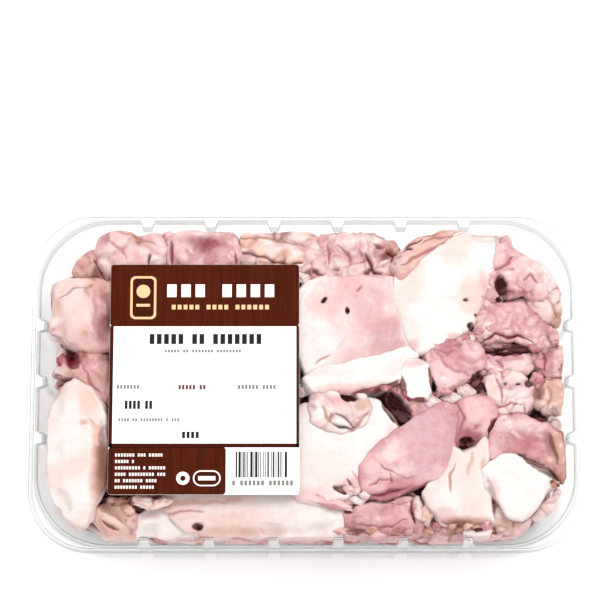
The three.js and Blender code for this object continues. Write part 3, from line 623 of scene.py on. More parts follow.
# The cuts of the top layer, where they differ from that. The tones lie in patches patch mm wide, and side is
# the tone of the sides. lumps is the height of the swells, grain the turn and depth of the fibres, lobes are
# the lobes' width and depth, marbling is the share of fat and lean streaks, and ease the rounds that smooth
# the cut. A spot is a tone, x, y, half length, half width, turn, strength and rise. A crease is a tone, its
# depth, its width and the points of its line. Sizes are in mm and turns in degrees. Places were read by hand
# from the photograph in pixels, and a scratch script turned them into mm, to the nearest half.
CUTS = {
    "meat_skin_roll": dict(
        slot="meat_tan", tones=("peach", "cream"), patch=9, side="blush", lumps=0.25, grain=(18, 0.05),
        lobes=(20, 0.2), ease=3,
        spots=[
            ("cream", 73, 64, 13, 2.2, 4, 0.85, 0),
            ("blush", 50.5, 58.5, 9, 2.5, 25, 0.4, 0),
        ],
        creases=[
            ("brown", 0.7, 0.8, [(41.5, 57), (45, 60), (50, 62.5)]),
            ("muscle", 0.6, 0.9, [(40.5, 51), (45.5, 54), (51.5, 56.5), (57, 59.5)]),
            ("umber", 0.8, 0.7, [(42.5, 58.5), (46, 57.5)]),
            ("muscle", 0.4, 0.7, [(48.5, 60), (55, 63), (62, 64)]),
            ("tan", 0.4, 0.7, [(66, 62), (74, 63.5), (81.5, 64.5)]),
        ],
    ),
    "meat_white_cube": dict(
        slot="meat_skin", tones=("skin", "skin"), patch=9, side="rose", lumps=0.06,
        spots=[
            # The maroon spots paint shade along the cube's two sides and its foot, where it meets darker meat
            ("maroon", 41, -2, 1.3, 5.5, 8, 0.85, -1),
            ("maroon", 53, -0.5, 1.3, 6, 10, 0.9, -1.2),
            ("maroon", 47, -8.5, 6, 1.5, -8, 0.9, -1.2),
            ("blush", 47.5, 8.5, 6, 1.6, 15, 0.6, 0),
        ],
    ),
    "meat_curled_scrap": dict(
        slot="meat_pale", tones=("cream", "skin"), patch=6, side="peach", lumps=0.3, grain=(10, 0.05),
        lobes=(12, 0.3),
        spots=[
            ("blush", 12.5, -9, 5, 3, 0, 0.7, 0),
            ("clot_and_shade", 18, -6.5, 4, 1.8, -18, 1, -2.5),
            ("tan", 23.5, -10.5, 3, 2.4, 0, 0.7, 0),
            ("cream", 14.5, -12.5, 4, 3, 0, 0.7, 0),
        ],
        creases=[
            ("tan", 1, 0.8, [(7, -11), (8.5, -16), (12, -19)]),
            ("umber", 1.2, 0.8, [(12, -19), (15.5, -20), (18.5, -20)]),
            ("brown", 0.8, 0.7, [(12.5, -14), (16.5, -16), (20.5, -19)]),
            ("tan", 0.6, 0.8, [(20.5, -19), (23.5, -17), (26.5, -13.5)]),
        ],
    ),
    "meat_white_skin_slab": dict(
        slot="meat_skin", tones=("skin", "cream"), patch=14, side="cream", lumps=0.14, deep=0.04, ease=4,
        spots=[
            ("peach", 70, 36, 3.5, 10, 8, 0.5, 0),
            ("blush", 76.5, 39.5, 3, 9, 14, 0.85, 0),
            ("pink", 73, 34.5, 2.6, 6, 0, 0.7, 0),
            ("blush", 73, 22.5, 3, 5, 0, 0.6, 0),
            # The clot, umber and maroon spots paint the shade in small holes in the slab
            ("clot_and_shade", 68.5, 35.5, 1.1, 0.9, -20, 0.9, -1),
            ("cream", 43.5, 22.5, 4, 8, 20, 0.6, 0),
            ("blush", 44, 15, 4.5, 2, 20, 0.6, 0),
            ("cream", 61, 60, 14, 3, 15, 0.5, 0),
            ("umber", 64.5, 16.5, 1.6, 1.1, 20, 0.8, -1),
            ("tan", 63, 19, 3, 2, 0, 0.5, 0),
            ("clot_and_shade", 69.5, 23.5, 1.3, 2.3, 12, 0.95, -1.5),
            ("maroon", 72.5, 28.5, 1.6, 0.9, -15, 0.9, -1),
        ],
        creases=[
            ("rose", 0.5, 0.7, [(65, 17), (62, 18.5), (59.5, 15.5), (55, 16)]),
        ],
    ),
    "meat_cut_face_skin": dict(
        slot="meat_skin", tones=("skin", "skin"), patch=10, side="skin", lumps=0.08, deep=0.05, ease=3,
        spots=[
            ("pink", 38, 6.5, 6, 3, 20, 0.4, 0),
            # The peach, blush and maroon spots along the band's lower edge are painted shade and a painted
            # shadow under it
            ("peach", 18, -3, 14, 2.2, 6, 0.7, 0),
            ("blush", 18.5, -4.5, 15, 1.4, 6, 0.8, 0),
            ("pink", 10, 3, 12, 2, 5, 0.3, 0),
            ("maroon", 14.5, -6, 8, 1.2, 0, 0.85, 0),
            ("maroon", 25, -4.5, 7, 1.2, 10, 0.85, 0),
            ("maroon", 35, -2, 6.5, 1.2, 24, 0.9, 0),
        ],
        creases=[
            # The brown crease under the band is a painted shadow
            ("brown", 1, 1.3, [(5, -5), (12, -6), (19.5, -5.5), (28, -4), (36.5, -1), (40.5, 0.5)]),
        ],
    ),
    "meat_cut_face_muscle": dict(
        slot="meat_pale", tones=("skin", "pink"), patch=13, side="skin", lumps=0.2, grain=(62, 0.12),
        marbling=0.3, flat=0.9, deep=0,
        spots=[
            ("pink", 26.5, 34, 17, 13, 0, 0.75, 0),
            ("blush", 25.5, 33.5, 17, 13, 0, 0.3, 0),
            ("blush", 14.5, 42, 9, 5, 0, 0.3, 0),
            ("cream", 36.5, 36, 4, 9, 0, 0.3, 0),
            ("mauve", 28, 36, 7, 6, 30, 0.5, 0),
            ("skin", 0, 20.5, 9, 18, 0, 0.95, 0),
            ("rose", 35, 17.5, 8, 8, 40, 0.6, 0),
            ("rose", 31.5, 21, 4, 9, -60, 0.4, 0),
            ("blush", 23.5, 12.5, 15, 4, 12, 0.65, 0),
            ("blush", 23.5, 25, 11, 7, 30, 0.5, 0),
            ("rose", 38, 13.5, 4, 5, 0, 0.5, 0),
            ("skin", 5, 10.5, 9, 4, 15, 0.8, 0),
            ("peach", 5, 34, 5, 5, 0, 0.5, 0),
            ("pink", 16.5, 36, 9, 5, 0, 0.5, 0),
            ("skin", 16.5, 25, 6, 7, 0, 0.5, 0),
            ("pink", 34, 45.5, 9, 2.5, -5, 0.85, 0),
            ("rose", 30, 47.5, 5, 1.5, 0, 0.8, 0),
            ("clot_and_shade", 7.5, 36, 1.7, 0.9, 50, 1, -1),
            ("clot_and_shade", 17.5, 30.5, 0.9, 1.5, 0, 1, -1),
            ("brown", 23, 40, 2, 0.7, 40, 0.7, 0),
            ("tan", 21.5, 37, 1, 0.7, 0, 0.6, 0),
        ],
        creases=[
            ("rose", 0.25, 0.9, [(21, 7), (29, 10.5), (37.5, 12.5)]),
            ("tan", 0.2, 0.8, [(4, 8), (7.5, 10), (10, 11)]),
        ],
    ),
    "meat_rose_slab": dict(
        slot="meat_muscle", tones=("rose", "mauve"), patch=16, side="muscle", lumps=0.12, grain=(68, 0.06),
        flat=0.9, deep=1, ease=4,
        spots=[
            ("pink", 37.5, -30, 7, 5.5, 32, 0.95, 0.25),
            ("cream", 35, -31, 5.5, 3.8, 32, 0.85, 0),
            ("cream", 40.5, -37.5, 6, 3, 25, 0.7, 0),
            ("rose", 29.5, -43.5, 8, 4, 20, 0.6, 0),
            ("pink", 35, -40, 3.5, 2, 0, 0.7, 0.6),
            ("rose", 62, -17, 3, 8, -10, 0.6, 0),
            ("mauve", 50.5, -25.5, 9, 12, 40, 0.9, 0),
            ("pink", 25.5, -45, 2.5, 2, 0, 0.6, 0.4),
            ("pink", 57, -39, 7, 3, 14, 0.6, 0),
            ("pink", 29.5, -38, 5, 7, 25, 0.8, 0),
            ("pink", 28, -46, 4, 2.5, 0, 0.5, 0),
        ],
        creases=[
            ("muscle", 0.8, 0.6, [(30.5, -34.5), (34, -37), (37.5, -38.5)]),
            ("muscle", 0.7, 0.6, [(35.5, -39), (36.5, -42.5), (34, -45)]),
            ("muscle", 0.6, 0.6, [(26.5, -45), (30.5, -42), (36.5, -42.5)]),
            ("rose", 0.5, 0.6, [(37.5, -39), (41.5, -41.5), (45, -40.5)]),
            # These two creases paint the shade in the crevice under its lower edge
            ("crimson", 1.6, 1.3, [(26.5, -49.5), (33, -49), (41.5, -47.5), (48.5, -45.5)]),
            ("clot_and_shade", 1.2, 0.9, [(43.5, -47.5), (50, -45), (56, -43.5)]),
        ],
    ),
    "meat_lobed_muscle": dict(
        slot="meat_muscle", tones=("pink", "blush"), patch=7, side="crimson", lumps=0.3, grain=(30, 0.08),
        lobes=(14, 0.25), marbling=0.1, ease=4,
        spots=[
            ("crimson", 68, -24, 7, 3, -12, 0.8, 0),
            ("pink", 73, -13, 7, 4.5, 20, 0.8, 0.8),
            ("maroon", 79, -19.5, 2.4, 4.5, -35, 0.95, -1.5),
            ("rose", 64.5, -18, 2.5, 6, 0, 0.7, 0),
            ("clot_and_shade", 67.5, -26, 3.2, 1.8, 0, 1, -2.5),
        ],
        creases=[
            ("muscle", 0.9, 0.9, [(64.5, -11.5), (65.5, -17), (64.5, -23)]),
        ],
    ),
    "meat_white_block": dict(
        slot="meat_skin", tones=("skin", "skin"), patch=9, side="blush", lumps=0.08,
        spots=[
            # The brown, tan and umber strips are painted shadows of the neighbouring slabs along its edges
            ("brown", 78.5, -50.5, 9, 1, -67, 0.6, -1),
            ("tan", 103, -50.5, 9, 1.9, 60, 0.9, -1.2),
            ("umber", 99, -37, 10, 2.2, -31, 0.85, -1.2),
            ("cream", 88.5, -39, 8, 4, 0, 0.3, 0),
            ("blush", 78, -46.5, 2, 5, 20, 0.4, 0),
        ],
    ),
    "meat_forked_slab": dict(
        slot="meat_skin", tones=("cream", "skin"), patch=12, side="blush", lumps=0.14, grain=(80, 0.05),
        ease=3,
        spots=[
            ("tan", 74, -38, 1, 6, 4, 0.6, 0),
            ("pink", 52.5, -49.5, 2.5, 4, 20, 0.6, 0),
            ("blush", 60, -60, 7, 1.6, 0, 0.7, 0),
            ("brown", 57.5, -61.5, 2.5, 1.2, 0, 0.7, 0),
            ("cream", 64.5, -43.5, 6, 12, 0, 0.4, 0),
            ("skin", 57, -51.5, 6, 6, 0, 0.8, 0.4),
            ("clot_and_shade", 68, -27, 2.4, 1.8, 0, 1, -2.5),
            ("tan", 66, -60.5, 12, 2.6, 0, 0.85, 0),
            ("brown", 62, -61, 7, 1.6, 0, 0.8, 0),
            ("brown", 74, -62, 5, 1.6, 0, 0.6, 0),
            ("blush", 58, -57, 4.5, 4, 0, 0.5, 0),
        ],
        creases=[
            ("peach", 0.8, 1, [(69.5, -31), (69, -35.5), (68, -41)]),
            ("tan", 0.6, 0.7, [(62, -35.5), (60.5, -41), (60, -47)]),
        ],
    ),
    "meat_brown_end_slab": dict(
        slot="meat_dark_muscle", tones=("blush", "rose"), patch=9, side="maroon", lumps=0.25,
        grain=(-25, 0.08), lobes=(18, 0.4), marbling=0.15, flat=0.75, ease=4,
        spots=[
            ("cream", 86.5, -20, 9, 4, -10, 0.9, 0.4),
            ("pink", 79, -31, 3, 6, 0, 0.8, 0),
            ("muscle", 91, -25.5, 9, 4, -25, 0.75, 0),
            ("tan", 106, -27.5, 3.6, 8, 12, 0.7, 0),
            ("peach", 107, -31, 3, 6, 12, 0.5, 0),
            ("brown", 102, -25.5, 1.8, 7, 12, 0.45, 0),
            ("tan", 107.5, -39, 3, 5, 0, 0.7, 0),
            ("pink", 97.5, -18.5, 7, 2, -20, 0.6, 0),
        ],
        creases=[
            # This crease paints the shadow along its lower edge, above the white block
            ("clot_and_shade", 1.8, 2.6, [(89, -32.5), (95, -36), (102.5, -40.5)]),
            ("brown", 0.6, 1.2, [(102, -23), (104, -28.5), (105, -36)]),
        ],
    ),
    "meat_round_muscle": dict(
        slot="meat_muscle", tones=("pink", "blush"), patch=9, side="blush", lumps=0.3, grain=(25, 0.1),
        lobes=(11, 0.4), marbling=0.1, ease=4,
        spots=[
            ("blush", 60, 12.5, 8, 5, -15, 0.7, 0.6),
            ("rose", 66.5, 9, 6, 4.5, -30, 0.8, 0),
            ("pink", 59.5, 2, 11, 5, -22, 0.85, 0),
            ("skin", 61, 0, 8, 2.8, -16, 0.45, 0.5),
            ("clot_and_shade", 53, -0.5, 4.8, 1.5, -62, 1, -3),
            ("muscle", 60, -4, 4.6, 1.2, 4, 0.7, -1),
            ("clot_and_shade", 75, 3.5, 4.4, 2.2, 24, 1, -3.5),
            ("umber", 64, 15.5, 1.8, 0.9, 10, 0.9, -1),
            ("umber", 56, 16.5, 3.6, 1, 28, 0.9, -1),
            ("brown", 49.5, 9, 1.2, 3.6, 15, 0.85, -1),
            ("pink", 68.5, 12.5, 3, 3, 0, 0.5, 0),
            ("rose", 62, 14.5, 7, 4, -6, 0.85, 0),
            ("muscle", 59.5, 16, 3.5, 2, 0, 0.6, 0),
            ("clot_and_shade", 71.5, -2.5, 1.6, 6, 12, 1, -2.5),
        ],
        creases=[
            ("brown", 0.9, 0.7, [(48.5, 11.5), (51.5, 14), (57, 16), (60, 17)]),
            ("rose", 0.6, 1.1, [(54.5, 13), (57.5, 8.5), (62, 5), (68.5, 2.5)]),
            ("muscle", 0.5, 0.7, [(55, 13), (59.5, 11.5), (62, 13)]),
        ],
    ),
    "meat_lobed_cheek": dict(
        slot="meat_muscle", tones=("pink", "cream"), patch=10, side="rose", lumps=0.28, grain=(35, 0.06),
        lobes=(8, 0.5), marbling=0.1, ease=4,
        spots=[
            ("skin", 104, 44.5, 2.6, 9, 15, 0.7, 0),
            # The clot spot paints the shade in a hole, and the brown spot beside it is painted shade
            ("clot_and_shade", 83, 41.5, 2.7, 5, 14, 1, -2.6),
            ("brown", 87.5, 37.5, 4.8, 2.2, -38, 0.8, -1.4),
            ("rose", 77, 38.5, 3.5, 7, 0, 0.7, 0),
            ("clot_and_shade", 81.5, 36, 1.2, 0.9, 0, 0.95, -1),
            ("pink", 80.5, 55.5, 6, 4.5, 10, 0.8, 0.9),
            ("rose", 87, 53, 2, 3, 0, 0.6, -0.7),
            ("pink", 92.5, 50, 6, 4.5, -30, 0.8, 0.8),
            ("rose", 95.5, 40.5, 3.5, 5, 0, 0.6, 0),
            ("cream", 97.5, 46.5, 2, 5, 0, 0.5, 0),
            ("fat", 85, 46.5, 2.4, 0.8, 20, 0.6, 0),
        ],
        creases=[
            ("muscle", 0.9, 0.8, [(78, 48.5), (82.5, 50.5), (86.5, 52.5), (89, 54.5)]),
            ("muscle", 0.9, 0.8, [(91.5, 44), (95, 46.5), (98.5, 43)]),
        ],
    ),
    "meat_gland_cluster": dict(
        slot="meat_muscle", tones=("pink", "blush"), patch=4, side="rose", lumps=0.6, grain=(5, 0.05),
        lobes=(5, 0.5), marbling=0.35,
        spots=[
            ("blush", 85, 28.5, 9, 5.5, 8, 0.5, 1.1),
            ("rose", 88.5, 42, 5, 3, 0, 0.5, 0),
            ("umber", 87, 15, 9, 1.5, -5, 0.9, 0),
            ("pink", 87.5, 32, 5, 3, 10, 0.6, 0.4),
            ("clot_and_shade", 71.5, 28.5, 1.2, 0.8, -20, 0.9, -1),
            ("clot_and_shade", 69.5, 24.5, 1.2, 2, 15, 1, -1.5),
            ("muscle", 101.5, 23.5, 2, 3, 0, 0.6, 0),
            ("rose", 100, 28.5, 3, 4, 0, 0.5, 0),
            ("fat", 75.5, 22.5, 3, 3, 0, 0.6, 0.6),
            ("peach", 95, 20, 5, 2, 0, 0.5, 0),
        ],
        creases=[
            # The clot creases paint the shade in the dark slit under it
            ("clot_and_shade", 2.4, 1.2, [(77, 17), (82.5, 17), (88, 17), (92.5, 15)]),
            ("clot_and_shade", 2.4, 1.6, [(85.5, 15), (91, 13.5), (96.5, 13.5)]),
            ("maroon", 1, 0.8, [(74.5, 18.5), (80.5, 20.5), (89, 20), (96, 18)]),
        ],
    ),
    "meat_fat_nub": dict(
        slot="meat_tan", tones=("peach", "cream"), patch=7, side="tan", lumps=0.2, lobes=(7, 0.4),
        spots=[
            ("brown", 100.5, 35.5, 1.4, 0.9, 0, 0.8, -0.6),
            ("cream", 102, 31.5, 4, 4, 0, 0.7, 0.6),
            ("tan", 107, 28.5, 2, 5, 0, 0.6, 0),
            ("brown", 101, 24, 2, 1, 0, 0.8, -0.8),
        ],
        creases=[
            ("tan", 0.8, 0.8, [(98.5, 36.5), (102, 37.5), (105.5, 34.5), (106, 28.5)]),
        ],
    ),
    "meat_folded_cream": dict(
        slot="meat_pale", tones=("cream", "pink"), patch=9, side="rose", lumps=0.3, grain=(-20, 0.05),
        lobes=(6.5, 0.55), deep=0.7, ease=3,
        spots=[
            ("mauve", 88, -2, 3.4, 2.4, 0, 0.7, 0.5),
            ("skin", 90.5, -6.5, 4, 4, 0, 0.6, 0),
            ("clot_and_shade", 84, -1, 1, 0.6, 0, 0.95, -0.8),
            ("clot_and_shade", 89.5, -1.5, 1.1, 0.7, 0, 0.9, -0.8),
            ("skin", 84.5, -4.5, 3, 1.6, 0, 0.7, 0.5),
            ("cream", 79, -3.5, 5, 5, 0, 0.7, 0.4),
            ("clot_and_shade", 73, -2.5, 1.8, 6, 10, 1, -3),
            ("clot_and_shade", 93.5, -0.5, 1.6, 2, 0, 0.9, -1),
        ],
        creases=[
            ("muscle", 0.9, 0.7, [(75.5, -8.5), (80.5, -10.5), (86, -8.5), (91, -11)]),
            ("muscle", 0.8, 0.7, [(80, 1), (82.5, -2.5), (81.5, -7.5)]),
        ],
    ),
    "meat_pale_strip": dict(
        slot="meat_muscle", tones=("pink", "mauve"), patch=8, side="rose", lumps=0.2, grain=(0, 0.08),
        lobes=(7, 0.5), deep=0.8,
        spots=[
            ("clot_and_shade", 72, 2.5, 4.4, 2, 0, 1, -2.5),
            ("cream", 89, 7, 6, 2.6, 0, 0.8, 0.6),
            ("rose", 76.5, 10.5, 4, 2.4, 0, 0.6, 0),
            ("clot_and_shade", 85, 13.5, 9, 1.5, -4, 1, -1.5),
            ("muscle", 86.5, 11, 4.5, 1.8, 0, 0.6, 0),
        ],
        creases=[
            ("muscle", 0.9, 0.7, [(79.5, 10.5), (82.5, 7), (81.5, 3.5)]),
        ],
    ),
    "meat_small_fat_nub": dict(
        slot="meat_tan", tones=("peach", "cream"), patch=5, side="tan", lumps=0.2, lobes=(7, 0.5),
        spots=[
            ("peach", 101.5, -6.5, 2, 1.4, 0, 0.6, 0),
            ("brown", 98.5, -3.5, 1.6, 2.6, 0, 0.8, -0.8),
            ("umber", 97.5, -13.5, 3, 1.6, 0, 0.9, -1),
        ],
        creases=[
            ("tan", 0.7, 0.7, [(101, -1), (103, -5.5), (102, -11)]),
        ],
    ),
    "meat_edge_muscle": dict(
        slot="meat_dark_muscle", tones=("pink", "blush"), patch=5, side="maroon", lumps=0.25,
        grain=(80, 0.1), lobes=(6, 0.6), marbling=0.2,
        spots=[
            ("muscle", 102.5, 14.5, 3, 5, 0, 0.7, 0),
            ("rose", 102.5, 7, 3, 4, 0, 0.7, 0.7),
            ("pink", 107, 10, 2, 7, 0, 0.8, 0),
            ("umber", 94, 14, 4, 1, 0, 0.9, -1),
        ],
        creases=[
            ("crimson", 0.8, 0.7, [(99, 18), (101.5, 12.5), (101, 6.5)]),
        ],
    ),
    "meat_muscle_wedge": dict(
        slot="meat_muscle", tones=("pink", "blush"), patch=8, side="maroon", lumps=0.2, grain=(-25, 0.08),
        lobes=(12, 0.3), flat=0.7,
        spots=[
            # The two clot spots paint the shade in the deep gap beside it
            ("clot_and_shade", 37.5, -9, 8.5, 4, -46, 1, -4),
            ("clot_and_shade", 41.5, -14.5, 5, 2.6, -35, 1, -4),
            ("blush", 47.5, -11, 3.5, 3, 0, 0.5, 0),
            ("skin", 53.5, -9, 3.5, 4, 0, 0.7, 0.5),
            ("rose", 45.5, -14.5, 4, 2, 20, 0.6, 0),
        ],
        creases=[
            ("clot_and_shade", 1.6, 1, [(42.5, -4.5), (45.5, -5), (49, -7.5)]),
            ("muscle", 0.6, 0.8, [(50, -9), (52.5, -12.5), (55, -14.5)]),
        ],
    ),
    "meat_low_white_slab": dict(
        slot="meat_skin", tones=("skin", "skin"), patch=14, side="blush", lumps=0.16, ease=4,
        spots=[
            # The clot spots paint the shade in the gaps beside it
            ("clot_and_shade", 37.5, -14, 9.5, 2.2, -49, 1, -2.5),
            ("pink", 2.5, -49, 8, 3.5, 8, 0.8, 0),
            ("pink", -2, -8.5, 3, 5, 0, 0.6, 0),
            ("cream", 10, -38.5, 12, 8, 0, 0.5, 0),
            ("clot_and_shade", 15, -46.5, 3.4, 1.6, -12, 1, -2.5),
            ("clot_and_shade", 20.5, -49.5, 2.6, 1.1, 0, 1, -2),
            ("blush", 18.5, -44, 6, 3, 15, 0.7, 0.8),
            ("blush", 36.5, -20, 2, 6, -30, 0.4, 0),
            ("rose", 10, -53, 8, 2, 18, 0.5, 0),
        ],
        creases=[
            ("rose", 0.9, 0.9, [(3.5, -48.5), (8.5, -51.5), (15.5, -55.5)]),
            ("maroon", 1, 0.8, [(16.5, -42), (18.5, -45.5), (23, -48)]),
            ("blush", 0.4, 0.9, [(19.5, -38.5), (22, -43), (25.5, -46.5)]),
        ],
    ),
    "meat_left_cream_block": dict(
        slot="meat_pale", tones=("peach", "cream"), patch=10, side="muscle", lumps=0.25, grain=(85, 0.06),
        lobes=(22, 0.3),
        spots=[
            # The muscle and brown spots make its right face darker: partly cut muscle, partly painted shade
            ("muscle", -86.5, 27, 4.5, 12, -4, 0.9, -0.6),
            ("brown", -86, 28, 3.4, 10, -4, 0.7, -0.6),
            ("brown", -84, 26, 2, 7, 0, 0.7, -0.6),
            ("pink", -91, 28, 3, 10, 0, 0.5, 0),
            ("blush", -88, 33, 3.5, 4, 0, 0.7, 0),
            ("skin", -98.5, 36.5, 6, 4, 10, 0.6, 0),
            ("pink", -94, 17, 7, 2.5, -8, 0.6, 0),
            ("cream", -97.5, 30.5, 7, 9, 0, 0.8, 0),
        ],
        creases=[
            ("rose", 0.5, 0.8, [(-89.5, 39.5), (-89.5, 33), (-89.5, 26), (-88, 20)]),
            ("rose", 0.5, 0.8, [(-104.5, 36), (-99, 39.5), (-92.5, 40.5)]),
        ],
    ),
    "meat_left_skin_slab": dict(
        slot="meat_skin", tones=("skin", "cream"), patch=14, side="blush", lumps=0.18, ease=4,
        spots=[
            ("peach", -91.5, -9.5, 4, 6, 20, 0.7, 0),
            ("cream", -89, -19, 4, 6, 0, 0.7, 0),
            ("tan", -93, -17.5, 1.6, 1.6, 0, 0.6, -0.3),
            # The peach, tan and brown spots along its right side are painted shade
            ("peach", -87.5, -35.5, 2.4, 15, 0, 0.6, 0),
            ("tan", -86.5, -37, 3.2, 16, 0, 0.9, 0),
            ("brown", -85, -38, 2.6, 16, 0, 0.9, 0),
            ("cream", -102, -43.5, 4, 10, 10, 0.35, 0),
        ],
        creases=[
            ("peach", 0.5, 1.8, [(-91, -16), (-88.5, -21.5), (-87, -27.5)]),
        ],
    ),
    "meat_left_muscle": dict(
        slot="meat_dark_muscle", tones=("blush", "tan"), patch=8, side="maroon", lumps=0.28,
        grain=(70, 0.08), lobes=(14, 0.5), marbling=0.15, ease=4,
        spots=[
            # The maroon, clot and crimson spots paint the shade in a dark gap
            ("maroon", -99.5, 13.5, 3.2, 7, 14, 1, -3),
            ("clot_and_shade", -100, 14.5, 1.6, 4.5, 14, 0.9, -1),
            ("crimson", -96.5, 11, 1.8, 5, 14, 0.8, -1),
            ("brown", -84, 11.5, 3, 3, 0, 0.7, 0),
            ("pink", -93.5, 4, 5, 5, 0, 0.6, 0),
            ("pink", -87.5, -5, 4, 7, 0, 0.6, 0),
            ("skin", -104.5, 2, 4, 7, 0, 0.8, 0),
        ],
        creases=[
            ("umber", 1.3, 0.9, [(-94, 16.5), (-89.5, 14.5), (-82.5, 13.5)]),
            ("muscle", 0.5, 0.8, [(-96, 9.5), (-91.5, 1.5), (-86.5, -4)]),
        ],
    ),
    "meat_back_left_muscle": dict(
        slot="meat_muscle", tones=("pink", "cream"), patch=7, side="rose", lumps=0.3, grain=(15, 0.1),
        lobes=(13, 0.6), marbling=0.15, ease=3,
        spots=[
            ("rose", -87, 61.5, 3.5, 5, 0, 0.25, 0),
            ("skin", -63, 54, 2.2, 1.6, 0, 0.8, 0),
            ("pink", -77, 64.5, 9, 2, 0, 0.5, 0),
        ],
        creases=[
            ("tan", 0.6, 0.9, [(-80, 65.5), (-73, 64.5), (-64.5, 61)]),
            ("clot_and_shade", 1.3, 0.7, [(-66.5, 56.5), (-66.5, 51)]),
            ("rose", 0.4, 0.9, [(-84, 62.5), (-79.5, 58.5), (-77, 53)]),
        ],
    ),
    "meat_back_red_muscle": dict(
        slot="meat_dark_muscle", tones=("pink", "rose"), patch=6, side="crimson", lumps=0.3,
        grain=(-10, 0.15), lobes=(14, 0.6), marbling=0.25,
        spots=[
            ("pink", -55, 61, 5, 6, 0, 0.8, 0),
            ("crimson", -43.5, 61, 8, 3.2, -8, 0.75, 0),
            ("blush", -32.5, 56.5, 3.5, 4, 0, 0.7, 0),
            ("cream", -45, 66, 15, 1.5, 0, 0.75, 0),
        ],
        creases=[
            ("crimson", 0.9, 0.8, [(-57.5, 62.5), (-57, 57.5), (-57.5, 51)]),
            ("crimson", 0.5, 0.8, [(-29.5, 56.5), (-29, 52)]),
        ],
    ),
    "meat_back_tan_fold": dict(
        slot="meat_pale", tones=("cream", "peach"), patch=6, side="peach", lumps=0.4, grain=(-6, 0.1),
        lobes=(11, 0.6),
        spots=[
            ("rose", -25.5, 55.5, 5, 1.8, 0, 0.7, 0),
            ("rose", -3.5, 60, 6, 1.8, -10, 0.6, 0),
            ("cream", -13, 60, 8, 2, 0, 0.7, 0),
        ],
        creases=[
            ("brown", 0.9, 0.9, [(-29, 57.5), (-23, 57), (-18, 55.5), (-12.5, 52.5)]),
            ("tan", 0.8, 0.9, [(-29, 63.5), (-20.5, 64), (-11, 63), (-1.5, 60)]),
            ("brown", 0.9, 0.9, [(-12.5, 52.5), (-7, 52.5), (-2, 53.5)]),
        ],
    ),
    "meat_back_crumpled_muscle": dict(
        slot="meat_dark_muscle", tones=("cream", "pink"), patch=4, side="rose", lumps=0.7, grain=(20, 0.1),
        lobes=(6.5, 0.85), marbling=0.3,
        spots=[
            ("cream", 23.5, 63.5, 14, 1.6, -8, 0.7, 0),
            ("muscle", 33.5, 58.5, 5, 3, 20, 0.6, 0),
            ("brown", 34.5, 56, 3, 1.6, 40, 0.85, -1),
            ("tan", 36.5, 59.5, 4, 3, -20, 0.6, 0),
            ("fat", 10.5, 52.5, 6, 4, 0, 0.8, 0),
            ("brown", 30.5, 60, 2.4, 0.9, -20, 0.8, -0.8),
            ("maroon", 26.5, 49, 2, 1, 50, 0.85, -1),
            ("brown", 2.5, 49, 3, 0.9, 10, 0.8, -0.8),
            ("brown", 12.5, 49.5, 1.6, 1, 0, 0.8, -0.8),
            ("fat", 21, 63, 5, 2, 0, 0.7, 0),
            ("blush", 10, 55, 6, 5, 0, 0.6, 0),
            ("fat", 25, 45, 8, 1.6, 0, 0.5, 0),
        ],
        creases=[
            ("maroon", 1.6, 1.1, [(25.5, 56.5), (27, 52.5), (28.5, 49), (32, 48.5)]),
            ("maroon", 1.8, 1.4, [(34, 58), (38, 55.5), (37, 50.5)]),
            ("muscle", 1, 0.9, [(0, 50.5), (3.5, 48.5), (7.5, 48)]),
            ("muscle", 1.1, 0.9, [(13.5, 61), (17, 57.5), (18.5, 52.5)]),
            ("muscle", 0.9, 0.8, [(8.5, 60), (11, 56), (10, 51.5)]),
        ],
    ),
    "meat_left_brown_flap": dict(
        slot="meat_dark_muscle", tones=("peach", "blush"), patch=6, side="brown", lumps=0.3,
        grain=(-35, 0.1), lobes=(10, 0.5), marbling=0.15,
        spots=[
            ("brown", -88, 50.5, 3, 5, -35, 0.9, 0),
            ("blush", -96, 53, 4, 3, 0, 0.6, 0),
            ("maroon", -86, 54, 1.6, 2, 0, 0.6, 0),
        ],
        creases=[
            ("maroon", 0.7, 0.8, [(-90.5, 54.5), (-88, 50.5), (-85, 45.5)]),
        ],
    ),
    "meat_front_white_bit": dict(
        slot="meat_skin", tones=("skin", "skin"), patch=8, side="blush", lumps=0.1,
        spots=[
            ("blush", -66, -56.5, 4, 1.2, 10, 0.5, 0),
            ("clot_and_shade", -45.5, -61, 1.3, 1.2, 0, 0.8, 0),
        ],
    ),
    "meat_front_long_slab": dict(
        slot="meat_pale", tones=("cream", "skin"), patch=20, side="blush", lumps=0.16, grain=(4, 0.05),
        deep=0.25, ease=4,
        spots=[
            ("skin", 2.5, -57.5, 11, 7, 0, 0.95, 0),
            ("peach", -54.5, -54.5, 10, 4, 0, 0.5, 0),
            # The tan spots along its front edge are painted shade
            ("tan", -34, -63.5, 13, 2, 0, 0.5, 0),
            ("peach", -30, -59, 16, 3, 0, 0.35, 0),
            ("tan", -16, -63.5, 10, 2, 0, 0.5, 0),
            ("skin", -9.5, -52, 12, 4, 0, 0.6, 0.5),
            ("cream", -9, -54.5, 8, 5, 0, 0.2, 0),
            ("blush", -62, -53, 7, 1.6, 0, 0.6, 0),
            ("tan", -49, -66.5, 12, 2, 0, 0.4, 0),
            ("peach", -66, -50.5, 4, 2, 20, 0.8, 0),
            ("umber", -45, -61.5, 2.6, 1.5, -8, 0.95, -0.8),
        ],
        creases=[
            # The peach crease is a painted shadow of the label's edge
            ("peach", 0.2, 2, [(-62, -51.5), (-45, -50.5), (-28, -50)]),
            ("rose", 0.6, 1, [(-69.5, -56), (-63, -54), (-53.5, -55), (-43, -56)]),
            ("clot_and_shade", 1, 1.2, [(-45.5, -61.5), (-43, -62)]),
        ],
    ),
